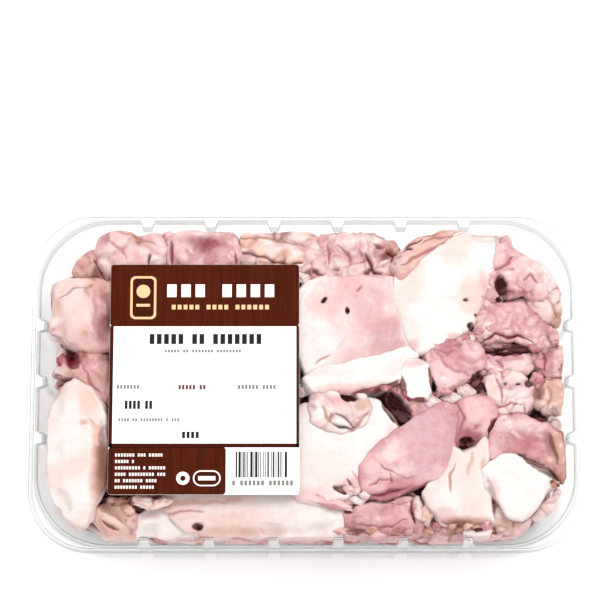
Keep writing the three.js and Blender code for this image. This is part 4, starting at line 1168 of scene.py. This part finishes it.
    "meat_front_lens_muscle": dict(
        slot="meat_muscle", tones=("pink", "blush"), patch=7, side="muscle", lumps=0.3, grain=(5, 0.1),
        lobes=(18, 0.25), marbling=0.25, flat=0.7, ease=3,
        spots=[
            ("pink", 18, -52, 9, 2.4, -8, 0.85, 0.8),
            ("pink", 28, -51.5, 9, 2, 5, 0.6, 0),
            ("skin", 47.5, -51.5, 1.6, 5, 6, 0.85, 1),
            ("peach", 51.5, -53.5, 2, 5, -12, 0.8, 0.8),
            ("brown", 18.5, -62.5, 6, 1.8, 0, 0.6, 0),
            ("blush", 31.5, -54.5, 12, 3, 4, 0.4, 0),
            ("blush", 37.5, -59.5, 8, 1.5, 5, 0.6, 0),
            ("tan", 45, -62.5, 4, 1.6, 0, 0.6, 0),
        ],
        creases=[
            ("maroon", 1.3, 0.9, [(5, -51.5), (12, -54.5), (18.5, -54), (25.5, -51)]),
            ("clot_and_shade", 1.6, 1.7, [(24.5, -50.5), (33, -50), (41.5, -48), (50, -46)]),
            ("muscle", 0.5, 0.7, [(18.5, -59.5), (31.5, -61.5), (42, -59)]),
            ("maroon", 1.4, 0.7, [(44, -49.5), (44.5, -54.5), (45.5, -59.5)]),
            ("maroon", 1.4, 0.7, [(49.5, -50), (51, -54.5), (52.5, -59.5)]),
        ],
    ),
    "meat_peach_strip": dict(
        slot="meat_pale", tones=("peach", "peach"), patch=6, side="peach", lumps=0.25, grain=(-25, 0.05),
        lobes=(12, 0.3),
        spots=[
            ("cream", -79, -59, 8, 2.4, -32, 0.7, 0.4),
            ("blush", -84, -63, 6, 2, -20, 0.5, 0),
            ("brown", -82.5, -53.5, 7, 2, -35, 0.8, -1.4),
            ("peach", -77, -54.5, 5, 3, -20, 0.7, -0.8),
            ("clot_and_shade", -87.5, -51, 4.5, 1.8, 20, 1, -3),
        ],
        creases=[
            ("brown", 1, 0.8, [(-86, -59), (-82.5, -61), (-78, -62.5)]),
            ("tan", 0.6, 0.9, [(-85.5, -54.5), (-80.5, -56.5), (-74.5, -60.5)]),
        ],
    ),
    "meat_front_pale_muscle": dict(
        slot="meat_muscle", tones=("cream", "pink"), patch=5, side="blush", lumps=0.35, grain=(0, 0.08),
        lobes=(8, 0.7), marbling=0.15,
        spots=[
            ("brown", 78.5, -51, 1.4, 6, 0, 0.7, 0),
            ("tan", 85.5, -60, 5, 3, 0, 0.6, 0),
        ],
    ),
    "meat_brown_wedge": dict(
        slot="meat_tan", tones=("skin", "cream"), patch=6, side="cream", lumps=0.25, grain=(-40, 0.08),
        lobes=(8, 0.4), marbling=0.2,
        spots=[
            ("cream", 101.5, -48.5, 3, 2, 0, 0.7, 0),
            ("brown", 96.5, -53.5, 2, 3, -40, 0.6, 0),
        ],
    ),
}

CUT_VOXEL, CUT_ROUNDS = 0.5, 3
# No cut rises past this height, just under the film
CUT_CEILING = 40.12
# How far a cut grows past its solid, against the wall and well inside
GROWTH_AT_WALL, GROWTH_INSIDE = 0.3, 0.75
# Widths of the relief that all cuts share, and the size of one fibre of their grain
SWELL, SMALL, FINE, WAVE = 6.5, 2.4, 1.3, 5
FIBRE_LENGTH, FIBRE_WIDTH, FIBRE_HEIGHT = 12, 1.3, 6
VEIN_WIDTH = 5.5
DEEP_TONES = ("clot_and_shade", "maroon", "umber")
# On a spot with a half width past this, the tears in its edge no longer grow with the spot
TEAR = 1.5
RIM_LIMIT = 4
CREASE_GAIN, CREASE_WAVE = 1.3, 1.2
# The inside of the tray's wall, and how near to it meat counts as lying against it
WALL_X, WALL_Y, WALL_CORNER = 107.5, 65.5, 26
WALL_FAR, WALL_NEAR = 7, 2.5
# Dents in the faces against the wall, and the broad and the short bends of all outlines
DENT_DEPTH, DENT_WIDTH = 2.2, 10
BROAD_BEND, BROAD_BEND_WIDTH = 1.2, 10
SHORT_BEND, SHORT_BEND_WIDTH = 0.6, 3.8
# A cut's lower edge along the wall: how far it hangs down, how wide its waves are, what share each mm of the
# drop draws it in, and the heights between which the drop sets in
HEM_DROP, HEM_WIDTH, HEM_PULL = 3.4, 14, 0.0016
HEM_STARTS, HEM_FULL = 32, 27.5


def near_wall(places):
    """1 for points that lie against the tray's wall, 0 for those well inside."""
    past = np.c_[
        np.abs(places[:, 0]) - WALL_X + WALL_CORNER,
        np.abs(places[:, 1]) - WALL_Y + WALL_CORNER,
    ]
    beyond = np.linalg.norm(np.clip(past, 0, None), axis=1)
    room = WALL_CORNER - beyond - np.minimum(past.max(axis=1), 0)
    return ease(WALL_FAR, WALL_NEAR, room)


def line_distance(places, line):
    """How far points lie from a line seen from above, in mm; near its ends they count as further away."""
    best = np.full(len(places), np.inf)
    flat = places[:, :2]
    for k, (start, end) in enumerate(zip(line, line[1:])):
        a, b = np.array(start, float), np.array(end, float)
        run = b - a
        share = np.clip(((flat - a) @ run) / (run @ run), 0, 1)
        away = np.linalg.norm(flat - a - share[:, None] * run, axis=1)
        along = (k + share) / (len(line) - 1)
        best = np.minimum(best, away / (0.3 + 0.7 * np.sin(np.pi * np.clip(along, 0.02, 0.98))))
    return best


def lobe_creases(places, size, seed):
    """1 in the creases between lobes about size mm wide, 0 on the lobes themselves."""
    shift = Vector((seed, 2.0 * seed, 0.5 * seed))
    bent = places / size + 0.35 * shifts(places, 0.8 * size, seed + 7)
    crease = np.empty(len(places))
    for i, point in enumerate(bent):
        near = noise.voronoi(Vector(point) + shift)[0]
        crease[i] = near[1] - near[0]
    return ease(0.26, 0.02, crease)


def depth_below_rim(places, facing):
    """How far each point lies below the nearest part of the cut's upper face."""
    upper = np.flatnonzero(facing[:, 2] > 0.7)[::4]
    tree = kdtree.KDTree(len(upper))
    for k, i in enumerate(upper):
        tree.insert((places[i, 0], places[i, 1], 0), k)
    tree.balance()
    rim = np.array([places[upper[tree.find((x, y, 0))[1]], 2] for x, y, _ in places])
    return np.clip(rim - places[:, 2], 0, None)


def square_up(mesh, share):
    """Raises the rounded rim of a cut towards the plane of its upper face, as a knife leaves it."""
    places, facing = points_of(mesh)
    top = facing[:, 2] > 0.93
    floor_plan = np.c_[places[:, :2], np.ones(len(places))]
    plane = np.linalg.lstsq(floor_plan[top], places[top, 2], rcond=None)[0]
    missing = floor_plan @ plane - places[:, 2]
    places[:, 2] += share * np.clip(missing, 0, RIM_LIMIT) * ease(0.05, 0.45, facing[:, 2])
    put_points(mesh, places)


def bend_along(places):
    """A shared soft bend of all the meat, so that no outline stays straight and neighbours still meet."""
    bends = []
    for seed in (70, 72):
        broad = BROAD_BEND * wander(places, BROAD_BEND_WIDTH, seed)
        bends.append(broad + SHORT_BEND * wander(places, SHORT_BEND_WIDTH, seed + 1))
    return np.c_[bends[0], bends[1], np.zeros(len(places))] * (1 - near_wall(places))[:, None]


def wall_dents(places):
    """How far the meat stands back from the wall, in mm, where it doesn't touch the plastic."""
    return DENT_DEPTH * near_wall(places) * ease(-0.1, 0.45, wander(places, DENT_WIDTH, 74))


def hem_drop(places):
    """How far a cut's lower edge hangs down along the wall, in mm, over the rounded shoulder of the heap."""
    hem = near_wall(places) * ease(HEM_STARTS, HEM_FULL, places[:, 2])
    return HEM_DROP * hem * ease(-0.3, 0.35, wander(places * (1, 1, 0), HEM_WIDTH, 75))


class Cut:
    """The points of one cut while it is made, with the noises that its tones and its relief share.

    up is 1 on its upper face and steep is 1 on its flanks, below is how far a point lies under the rim in mm,
    and inside is 1 away from the tray's wall.
    """

    def __init__(self, mesh, look, seed):
        self.places, self.facing = points_of(mesh)
        self.seed = seed
        self.up = ease(0.2, 0.7, self.facing[:, 2])
        self.steep = ease(0.62, 0.15, self.facing[:, 2])
        self.below = depth_below_rim(self.places, self.facing)
        self.inside = 1 - near_wall(self.places)
        self.broad = wander(self.places, look["patch"], seed)
        self.swell = wander(self.places, SWELL, seed + 1)
        self.small = wander(self.places, SMALL, seed + 2)
        self.fine = wander(self.places, FINE, seed + 9)
        along, across = turned(self.places, look["grain"][0])
        self.combed = np.c_[along / FIBRE_LENGTH, across / FIBRE_WIDTH, self.places[:, 2] / FIBRE_HEIGHT]
        self.grain = wander(self.combed, 1, seed + 3)
        self.colours = np.tile(TONE[look["tones"][0]], (len(self.places), 1))
        growth = GROWTH_AT_WALL + (GROWTH_INSIDE - GROWTH_AT_WALL) * self.inside
        lumps = look["lumps"] * (self.swell + 0.4 * self.small + 0.25 * self.fine)
        self.lift = growth + lumps + look["grain"][1] * self.grain - wall_dents(self.places)

    def paint(self, tone, share):
        self.colours = blend(self.colours, TONE[tone], share)


def paint_flesh(cut, look):
    """The two tones in patches, a mottle of the sides' tone, and fat and lean streaks where it is marbled."""
    cut.paint(look["tones"][1], ease(-0.2, 0.3, cut.broad))
    cut.colours *= (1 + 0.035 * cut.small + 0.06 * cut.grain)[:, None]
    mottle = 0.5 * look["deep"] * ease(0.0, 0.45, cut.fine + 0.4 * cut.small)
    cut.paint(look["side"], 0.5 * mottle)
    if look["marbling"]:
        vein = 1 - ease(0, 0.07, np.abs(wander(cut.places, VEIN_WIDTH, cut.seed + 4)))
        cut.paint("fat", look["marbling"] * vein)
        streak = ease(0.25, 0.55, wander(cut.combed * 0.6, 1, cut.seed + 5))
        cut.paint("muscle", look["marbling"] * 0.7 * streak)


def paint_sides(cut, look):
    """The rim and the flanks under the skin, partly their own tissue and partly painted shade."""
    rim = ease(0.85, 0.45, cut.facing[:, 2]) * (0.12 + 0.38 * look["deep"])
    under_skin = ease(1.0, 3.2, cut.below + 0.9 * cut.small)
    flank = cut.steep * under_skin * (0.55 + 0.35 * ease(-0.3, 0.3, cut.broad))
    cut.paint(look["side"], np.maximum(rim, flank))
    layer = cut.steep * ease(0.25, 0.6, cut.grain + 0.4 * cut.swell)
    cut.paint("fat", 0.35 * layer)
    # Painted shade: the flanks between the cuts, not against the wall, turn dark red and then nearly black on
    # their way down
    inner = cut.inside * look["deep"]
    cut.paint("maroon", cut.steep * inner * ease(1.8, 5.5, cut.below + 0.8 * cut.small))
    cut.paint("clot_and_shade", cut.steep * inner * ease(4, 9, cut.below))


def press_lobes(cut, look):
    """Rounded lobes with sunk creases between them, painted darker there as painted shade."""
    size, depth = look["lobes"]
    if not depth:
        return
    crease = lobe_creases(cut.places, size, cut.seed)
    cut.lift += depth * (0.5 - crease) + 0.3 * depth * cut.swell
    cut.paint("muscle", 0.4 * cut.up * crease)
    cut.paint("maroon", 0.6 * cut.up * crease * ease(0.3, 0.75, cut.small + cut.swell))


def add_spots(cut, look):
    """Spots of another tone with torn edges; the deep tones are sharper and run over the rim."""
    # Most dark spots are painted shade in holes and gaps between the cuts, and some along edges are painted
    # shadows
    for tone, x, y, long, wide, turn, strength, rise in look["spots"]:
        along, across = turned(cut.places[:, :2] - (x, y), turn)
        torn = TEAR / max(TEAR, min(long, wide))
        ragged = np.hypot(along / long, across / wide) + 0.3 * cut.swell
        ragged = ragged + (0.22 * cut.small + 0.2 * cut.fine) * torn
        deep = tone in DEEP_TONES
        soft = 0.15 if deep else 0.55
        seen = ease(-0.4, 0.2, cut.facing[:, 2]) if deep else cut.up
        share = strength * seen * ease(1 + soft, 1 - soft, ragged)
        cut.paint(tone, share)
        cut.lift += rise * share


def press_folds(cut, look):
    """Thin sunk folds along lines that waver a little, painted in their tone; dark tones there are painted
    shade.
    """
    if not look["creases"]:
        return
    wavy = np.c_[cut.swell, wander(cut.places, WAVE, cut.seed + 6), np.zeros(len(cut.places))]
    for tone, depth, width, line in look["creases"]:
        away = line_distance(cut.places + CREASE_WAVE * wavy, line) * (1 + 0.3 * cut.small)
        share = cut.up * np.exp(-((away / width) ** 2))
        cut.lift -= CREASE_GAIN * depth * share
        cut.paint(tone, 0.95 * cut.up * ease(1.15 * width, 0.3 * width, away))


def build_cut(node, seed, look):
    """One cut: its solid's form with a knife-cut rim, then its tones, and the relief that goes with them."""
    look = {**USUAL, **KINDS[look["slot"]], **look}
    mesh = even_net(node, CUT_VOXEL, CUT_ROUNDS)
    square_up(mesh, look["flat"])
    ease_edges(mesh, look["ease"])
    cut = Cut(mesh, look, seed)
    for work in (paint_flesh, paint_sides, press_lobes, add_spots, press_folds):
        work(cut, look)
    places = cut.places + (cut.facing * cut.lift[:, None] + bend_along(cut.places))
    drop = hem_drop(places)
    places[:, 2] = np.minimum(places[:, 2] - drop, CUT_CEILING)
    places[:, :2] *= (1 - HEM_PULL * drop)[:, None]
    put_points(mesh, places)
    put_tones(mesh, cut.colours)
    return show(node + "_cut", mesh, [MEAT[look["slot"]]], node)


# Packed meat under the cuts

HEAP_VOXEL, HEAP_ROUNDS = 1.0, 4
HEAP_FLOOR = 0.95
# The pressed pieces: their size, how much flatter than wide they are, and how far one reaches into the others
PIECE_SIZE, PIECE_FLATNESS = 34, 1.8
PIECE_REACH = (-5, 6)
PIECES_TRIED = 4000
PIECES_X, PIECES_Y, PIECES_LOW, PIECES_HIGH = 114, 72, -2, 38
PIECE_TONES = ("cream", "pink", "blush", "rose", "skin", "peach", "muscle", "cream", "mauve", "pink")
PIECES_COMPARED = 5
WARP, WARP_WIDTH, RIPPLE, RIPPLE_WIDTH = 3.8, 12, 1.5, 4
SEAM_DEPTH, SEAM_WIDTH = 1.5, 2.4
HEAP_SWELL, HEAP_SMALL, HEAP_BROAD, HEAP_FOLD = 6, 2.2, 9, 7
# Heights between which the painted shade under the cuts sets in, first dark red and then nearly black
SHADE_STARTS, SHADE_FULL, DARKEST_SHADE_START, DARKEST_SHADE_FULL = 34.5, 30, 29, 26.5


def pieces_apart(dice):
    """Seeded middles of the pressed pieces, each with its own reach in mm."""
    chosen = []
    for _ in range(PIECES_TRIED):
        x, y = dice.uniform(-PIECES_X, PIECES_X), dice.uniform(-PIECES_Y, PIECES_Y)
        middle = Vector((x, y, PIECE_FLATNESS * dice.uniform(PIECES_LOW, PIECES_HIGH)))
        reach = dice.uniform(*PIECE_REACH)
        if all((middle - spot).length > 0.6 * PIECE_SIZE + 0.5 * (reach + other) for spot, other in chosen):
            chosen.append((middle, reach))
    return chosen


def nearest_piece(places, chosen):
    """The pressed piece that each point belongs to, and how far the point lies from the seam, in mm."""
    tree = kdtree.KDTree(len(chosen))
    for k, (middle, _) in enumerate(chosen):
        tree.insert(middle, k)
    tree.balance()
    bent = places + WARP * shifts(places, WARP_WIDTH, 60)
    bent += RIPPLE * shifts(places, RIPPLE_WIDTH, 63)
    bent[:, 2] *= PIECE_FLATNESS
    nearest, margin = np.zeros(len(places), int), np.zeros(len(places))
    for i, point in enumerate(bent):
        ranks = sorted((away - chosen[k][1], k) for _, k, away in tree.find_n(point, PIECES_COMPARED))
        nearest[i], margin[i] = ranks[0][1], ranks[1][0] - ranks[0][0]
    return nearest, margin


def build_heap():
    """The meat under the cuts: pieces pressed on each other, with dark creases between them."""
    mesh = even_net("meat_heap", HEAP_VOXEL, HEAP_ROUNDS)
    places, facing = points_of(mesh)
    dice = random.Random(31)
    chosen = pieces_apart(dice)
    nearest, margin = nearest_piece(places, chosen)
    swell = wander(places, HEAP_SWELL, 66)
    small = wander(places, HEAP_SMALL, 67)
    broad = wander(places, HEAP_BROAD, 69)
    firsts = np.array([TONE[dice.choice(PIECE_TONES)] for _ in chosen])
    seconds = np.array([TONE[dice.choice(PIECE_TONES)] for _ in chosen])
    colours = blend(firsts[nearest], seconds[nearest], 0.8 * ease(0, 0.35, broad))
    colours = blend(colours, TONE["muscle"], 0.4 * ease(0.1, 0.5, swell))
    fold = 1 - ease(0, 0.06, np.abs(wander(places, HEAP_FOLD, 68)))
    colours = blend(colours, TONE["fat"], 0.5 * fold * ease(-0.1, 0.3, small))
    colours = blend(colours, TONE["crimson"], 0.45 * fold * ease(0.1, -0.3, small))
    colours *= (1 + 0.05 * small)[:, None]
    inside = 1 - near_wall(places)
    # Painted shade in the seams between the pressed pieces: dark red and deeper red, more so away from the
    # wall
    seam = ease(1.5, 0.2, margin + 0.8 * small)
    colours = blend(colours, TONE["crimson"], 0.75 * seam * ease(-0.35, 0.15, swell + 0.6 * inside))
    colours = blend(colours, TONE["maroon"], 0.9 * seam * ease(-0.05, 0.35, broad + 0.5 * inside))
    # Painted shade under the cuts, away from the wall: dark red, and nearly black further down
    shaded = inside * ease(SHADE_STARTS, SHADE_FULL, places[:, 2])
    colours = blend(colours, TONE["maroon"], 0.85 * shaded)
    colours = blend(colours, TONE["clot_and_shade"], 0.8 * shaded * ease(DARKEST_SHADE_START, DARKEST_SHADE_FULL, places[:, 2]))
    lift = 0.25 * swell + 0.12 * small - SEAM_DEPTH * ease(SEAM_WIDTH, 0, margin) - wall_dents(places)
    places += facing * lift[:, None]
    places[:, 2] = np.maximum(places[:, 2], HEAP_FLOOR)
    put_points(mesh, places)
    put_tones(mesh, colours)
    return show("packed_meat", mesh, [MEAT["meat_heap"]], "meat_heap")


# Torn scraps

# Scraps in the gaps between the cuts and along the front wall: tone, second tone, x, y, least height of the
# middle, half length, half width, half height and turn. Most places were read in pixels and turned into mm by
# a scratch script, to the nearest tenth, and a few were set in mm by hand.
SCRAPS = [
    ("blush", "muscle", 55.1, -61, 33, 2.3, 1.9, 1.7, 10),
    ("pink", "rose", 58.1, -62.6, 32.5, 2.2, 1.8, 1.6, 20),
    ("blush", "tan", 61.1, -61.4, 33, 2, 1.8, 1.6, 60),
    ("tan", "brown", 64, -62.6, 32.5, 2.6, 1.8, 1.6, -10),
    ("peach", "tan", 67.9, -61.8, 33, 2.2, 1.7, 1.5, 15),
    ("tan", "umber", 71.2, -62.9, 32, 2.6, 1.7, 1.5, -5),
    ("rose", "pink", 74.6, -62.1, 32.5, 2.4, 1.8, 1.5, 35),
    ("brown", "tan", 78, -62.9, 32, 2.3, 1.7, 1.5, 0),
    ("peach", "blush", 81.9, -62, 32, 2.8, 1.9, 1.5, 10),
    ("tan", "blush", 50.9, -63, 32.5, 2.6, 1.8, 1.6, 20),
    ("rose", "blush", 47.1, -62.3, 33, 2.2, 1.8, 1.6, -30),
    ("blush", "tan", 43.3, -63, 32.5, 2.6, 1.8, 1.5, 5),
    ("muscle", "tan", 39, -62.6, 32.5, 2.8, 1.7, 1.5, 15),
    ("rose", "muscle", 33.9, -63.3, 32, 3, 1.7, 1.5, -5),
    ("tan", "blush", 28, -62.9, 32, 3.2, 1.8, 1.5, 5),
    ("brown", "rose", 21.2, -63.2, 31.5, 3.4, 1.7, 1.5, 0),
    ("peach", "rose", 14.4, -63.2, 31.5, 3, 1.8, 1.5, 10),
    ("cream", "skin", 47.1, -55.9, 35.5, 1.5, 3.4, 1.6, 8),
    ("peach", "cream", 51.3, -57.6, 35, 1.5, 3.6, 1.6, -10),
    ("rose", "blush", 12.7, -52.4, 34, 3.6, 1.7, 1.4, 12),
    ("cream", "peach", -67.5, -51.4, 36, 4.8, 2.6, 2, -6),
    ("peach", "cream", -60.8, -52, 36.5, 4.2, 2.2, 1.8, 12),
    ("peach", "tan", -74.2, -54.3, 34.5, 3, 2.1, 1.6, -30),
    ("tan", "brown", -77.6, -50.8, 33, 3.4, 2.2, 1.6, 10),
    ("muscle", "crimson", 43.3, -6, 32, 3, 1.8, 1.4, -30),
    ("blush", "rose", 13.6, -4.1, 33, 3.6, 1.7, 1.4, -12),
    ("cream", "skin", -1.5, 46.5, 35, 3.6, 2.6, 2, 0),
    ("skin", "pink", -1.5, -2.5, 34.5, 2.8, 3.4, 1.8, 0),
    ("blush", "muscle", 97.5, 1.5, 34.5, 3, 3.4, 2, 20),
    ("tan", "brown", -71.5, -50.5, 34.5, 3, 2, 1.6, 0),
    ("crimson", "muscle", 25.4, -2, 32, 3.2, 1.7, 1.3, -10),
    ("muscle", "rose", 33.1, -2.3, 31.5, 2.6, 1.7, 1.3, 20),
    ("rose", "muscle", 96.7, 15.2, 32, 2.6, 1.7, 1.4, -10),
    ("muscle", "crimson", -103.5, 9.7, 31, 1.9, 2.8, 1.5, 0),
    ("tan", "brown", 103.9, -43.8, 33, 2, 1.7, 1.4, -30),
    ("brown", "umber", 98, -15.7, 32, 2.6, 1.9, 1.5, 10),
    ("cream", "pink", 21.2, -46.4, 34.5, 2.2, 1.7, 1.3, 20),
    ("skin", "pink", 24.6, -48.9, 34, 2, 1.5, 1.3, -20),
    ("pink", "rose", 19.5, -50.1, 33.5, 2.4, 1.6, 1.3, 10),
    ("pink", "rose", 76.8, 35.3, 37, 1.9, 2.6, 1.3, 0),
    ("pink", "blush", 75.1, 30.2, 36.5, 2, 1.9, 1.3, 0),
    ("rose", "pink", 73.4, 22, 36, 2.3, 1.8, 1.3, -25),
    ("pink", "cream", 78, 42.8, 37, 1.8, 2.2, 1.2, 0),
    ("blush", "pink", 41.6, 49.6, 36.5, 2.6, 1.7, 1.3, 25),
    ("rose", "muscle", 39, 53.3, 36, 2, 1.8, 1.3, 0),
    ("rose", "muscle", 67, 19, 35.5, 2.3, 1.6, 1.3, 15),
    ("muscle", "rose", 59.4, 17.7, 35.5, 2.4, 1.6, 1.3, 25),
    ("rose", "blush", 53.4, 14.8, 35, 2, 1.8, 1.3, 40),
    ("skin", "pink", 66.2, 39.7, 38.6, 1.5, 1.2, 0.8, 20),
    ("pink", "cream", 69.1, 37.6, 38.5, 1.6, 1.3, 0.9, -30),
    ("cream", "blush", 72.1, 40.7, 38.4, 1.7, 1.3, 0.9, 0),
    ("pink", "blush", 74.6, 37.7, 38, 1.6, 1.4, 0.9, 60),
    ("cream", "pink", 70, 31.9, 38.4, 1.7, 1.3, 0.9, 10),
    ("skin", "cream", 67, 27.9, 38.4, 1.6, 1.3, 0.8, -20),
    ("cream", "peach", 70, 19.2, 38, 1.8, 1.3, 0.9, 30),
    ("pink", "peach", 66.2, 22.2, 38.2, 1.6, 1.3, 0.9, 0),
    ("peach", "pink", 73.4, 25, 37.6, 1.7, 1.4, 1, 45),
    ("blush", "pink", 78, 23.1, 36.8, 2, 1.5, 1, 0),
    ("pink", "cream", 75.5, 44.3, 38, 1.6, 1.8, 0.9, 0),
    ("cream", "pink", 76.8, 50.1, 38, 1.5, 2, 0.9, 10),
    ("cream", "pink", 67.9, -3.7, 34.6, 4.6, 3, 2, -38),
    ("skin", "pink", 61.9, -6.1, 34, 4.4, 2.4, 1.8, -12),
    ("blush", "rose", 58.1, -3.3, 33.4, 3.4, 1.8, 1.4, -20),
    ("pink", "skin", 80.6, 5.3, 34, 3, 1.8, 1.4, 0),
    ("pink", "rose", 10.6, -51.6, 35.8, 8.5, 2.2, 1.5, -17),
    ("skin", "pink", 21.6, -50.3, 36, 3.2, 1.8, 1.4, -10),
    ("pink", "cream", 18.2, -46.2, 37, 2.6, 1.8, 1.3, -35),
    ("peach", "cream", 50, -55, 35.4, 1.6, 4.2, 1.7, -14),
    ("blush", "rose", 39.9, -50.4, 34.6, 4.2, 1.6, 1.3, 8),
]
SCRAP_CEILING = 39.6
SCRAP_SEAT = 0.3
# Widths of a scrap's folds and tears as shares of its half size
SCRAP_FOLD, SCRAP_TEAR = 0.8, 0.33
FROM_ABOVE = 60


def top_at(pieces, x, y):
    """Height of the meat at one place, in mm."""
    best = 0.0
    for piece in pieces:
        hit, place, _, _ = piece.ray_cast(Vector((x, y, FROM_ABOVE)) * MM, Vector((0, 0, -1)))
        if hit:
            best = max(best, place.z / MM)
    return best


def build_scraps(pieces):
    """The torn scraps of meat and fat that lie on the other pieces, as one piece."""
    bpy.context.view_layer.update()
    joined = bmesh.new()
    tones = []
    for number, (tone, second, x, y, least, long, wide, high, turn) in enumerate(SCRAPS):
        scrap = bmesh.ops.create_icosphere(joined, subdivisions=4, radius=1)["verts"]
        places = np.array([vert.co for vert in scrap])
        folds = wander(places, SCRAP_FOLD, 300 + number)
        tears = wander(places, SCRAP_TEAR, 400 + number)
        places *= (1 + 0.5 * folds + 0.22 * tears)[:, None]
        places *= (long, wide, high)
        places[:, :2] = np.c_[turned(places, -turn)]
        middle = min(max(least, top_at(pieces, x, y) - SCRAP_SEAT * high), SCRAP_CEILING - high)
        places += (x, y, middle)
        places[:, 2] = np.minimum(places[:, 2], SCRAP_CEILING)
        for vert, place in zip(scrap, places):
            vert.co = place * MM
        mixed = blend(np.tile(TONE[tone], (len(places), 1)), TONE[second], ease(0, 0.4, folds))
        # Painted shade: each scrap turns darker towards its underside
        low = ease(middle, middle - high, places[:, 2])
        tones.append(blend(mixed, TONE["muscle"], 0.6 * low) * (1 + 0.05 * tears)[:, None])
    mesh = mesh_of(joined, "scraps")
    mesh.shade_smooth()
    put_tones(mesh, np.concatenate(tones))
    return show("meat_scraps", mesh, [MEAT["meat_heap"]], "meat_heap")


# Floor, lamp and camera

# The camera looks down at AIM at this angle in degrees, and the picture is SHOWN_WIDTH wide there, in mm
AIM = Vector((-2.5, 35.4, 40)) * MM
ELEVATION = 74.2
DISTANCE = 1400
SENSOR, SHOWN_WIDTH = 36, 254.5
FLOOR_HALF, FLOOR_DROP = 1600, 0.2
FLOOR_GLOW, ROOM_GLOW = 0.05, 1.32
LAMP_PLACE = Vector((420, 500, 1100)) * MM
LAMP_SIZE, LAMP_POWER = 400, 6.5
CLEAR_FACES_PASSED = 40


def build_stage():
    """A wide white floor just below the tray."""
    form = bmesh.new()
    bmesh.ops.create_grid(form, x_segments=1, y_segments=1, size=FLOOR_HALF * MM)
    mesh = mesh_of(form, "floor")
    made, tree = new_material("white_floor")
    matt = {"Base Color": rgba("FAFAFA"), "Roughness": 0.8}
    lit = {"Emission Color": rgba("FFFFFF"), "Emission Strength": FLOOR_GLOW}
    add(tree, "OutputMaterial", {"Surface": add(tree, "BsdfPrincipled", {**matt, **lit})})
    mesh.materials.append(made)
    floor = in_scene("floor", mesh)
    floor.location.z = -FLOOR_DROP * MM


def build_light():
    """A white room and one square soft box that looks at the pack."""
    world = bpy.data.worlds.new("white_room")
    world.use_nodes = True
    world.node_tree.nodes.clear()
    glow = add(world.node_tree, "Background", {"Color": rgba("FFFFFF"), "Strength": ROOM_GLOW})
    add(world.node_tree, "OutputWorld", {"Surface": glow})
    bpy.context.scene.world = world
    box = bpy.data.lights.new("key_lamp", "AREA")
    box.shape = "SQUARE"
    box.size = LAMP_SIZE * MM
    box.energy = LAMP_POWER
    lamp = in_scene("key_lamp", box)
    lamp.location = LAMP_PLACE
    lamp.rotation_euler = (AIM - LAMP_PLACE).to_track_quat("-Z", "Y").to_euler()


def build_camera():
    """A camera that looks down at the angle of the photograph."""
    data = bpy.data.cameras.new("photo_camera")
    data.sensor_width = SENSOR
    data.lens = SENSOR * DISTANCE / SHOWN_WIDTH
    camera = in_scene("photo_camera", data)
    rise = math.radians(ELEVATION)
    camera.location = AIM + DISTANCE * MM * Vector((0, -math.cos(rise), math.sin(rise)))
    camera.rotation_euler = (math.radians(90 - ELEVATION), 0, 0)
    bpy.context.scene.camera = camera


build_tray()
build_film()
build_label()
cuts = [build_cut(node, 10 * number + 5, look) for number, (node, look) in enumerate(CUTS.items())]
build_scraps([*cuts, build_heap()])
build_stage()
build_light()
build_camera()
bpy.context.scene.view_settings.view_transform = "Standard"
bpy.context.scene.cycles.transparent_max_bounces = CLEAR_FACES_PASSED
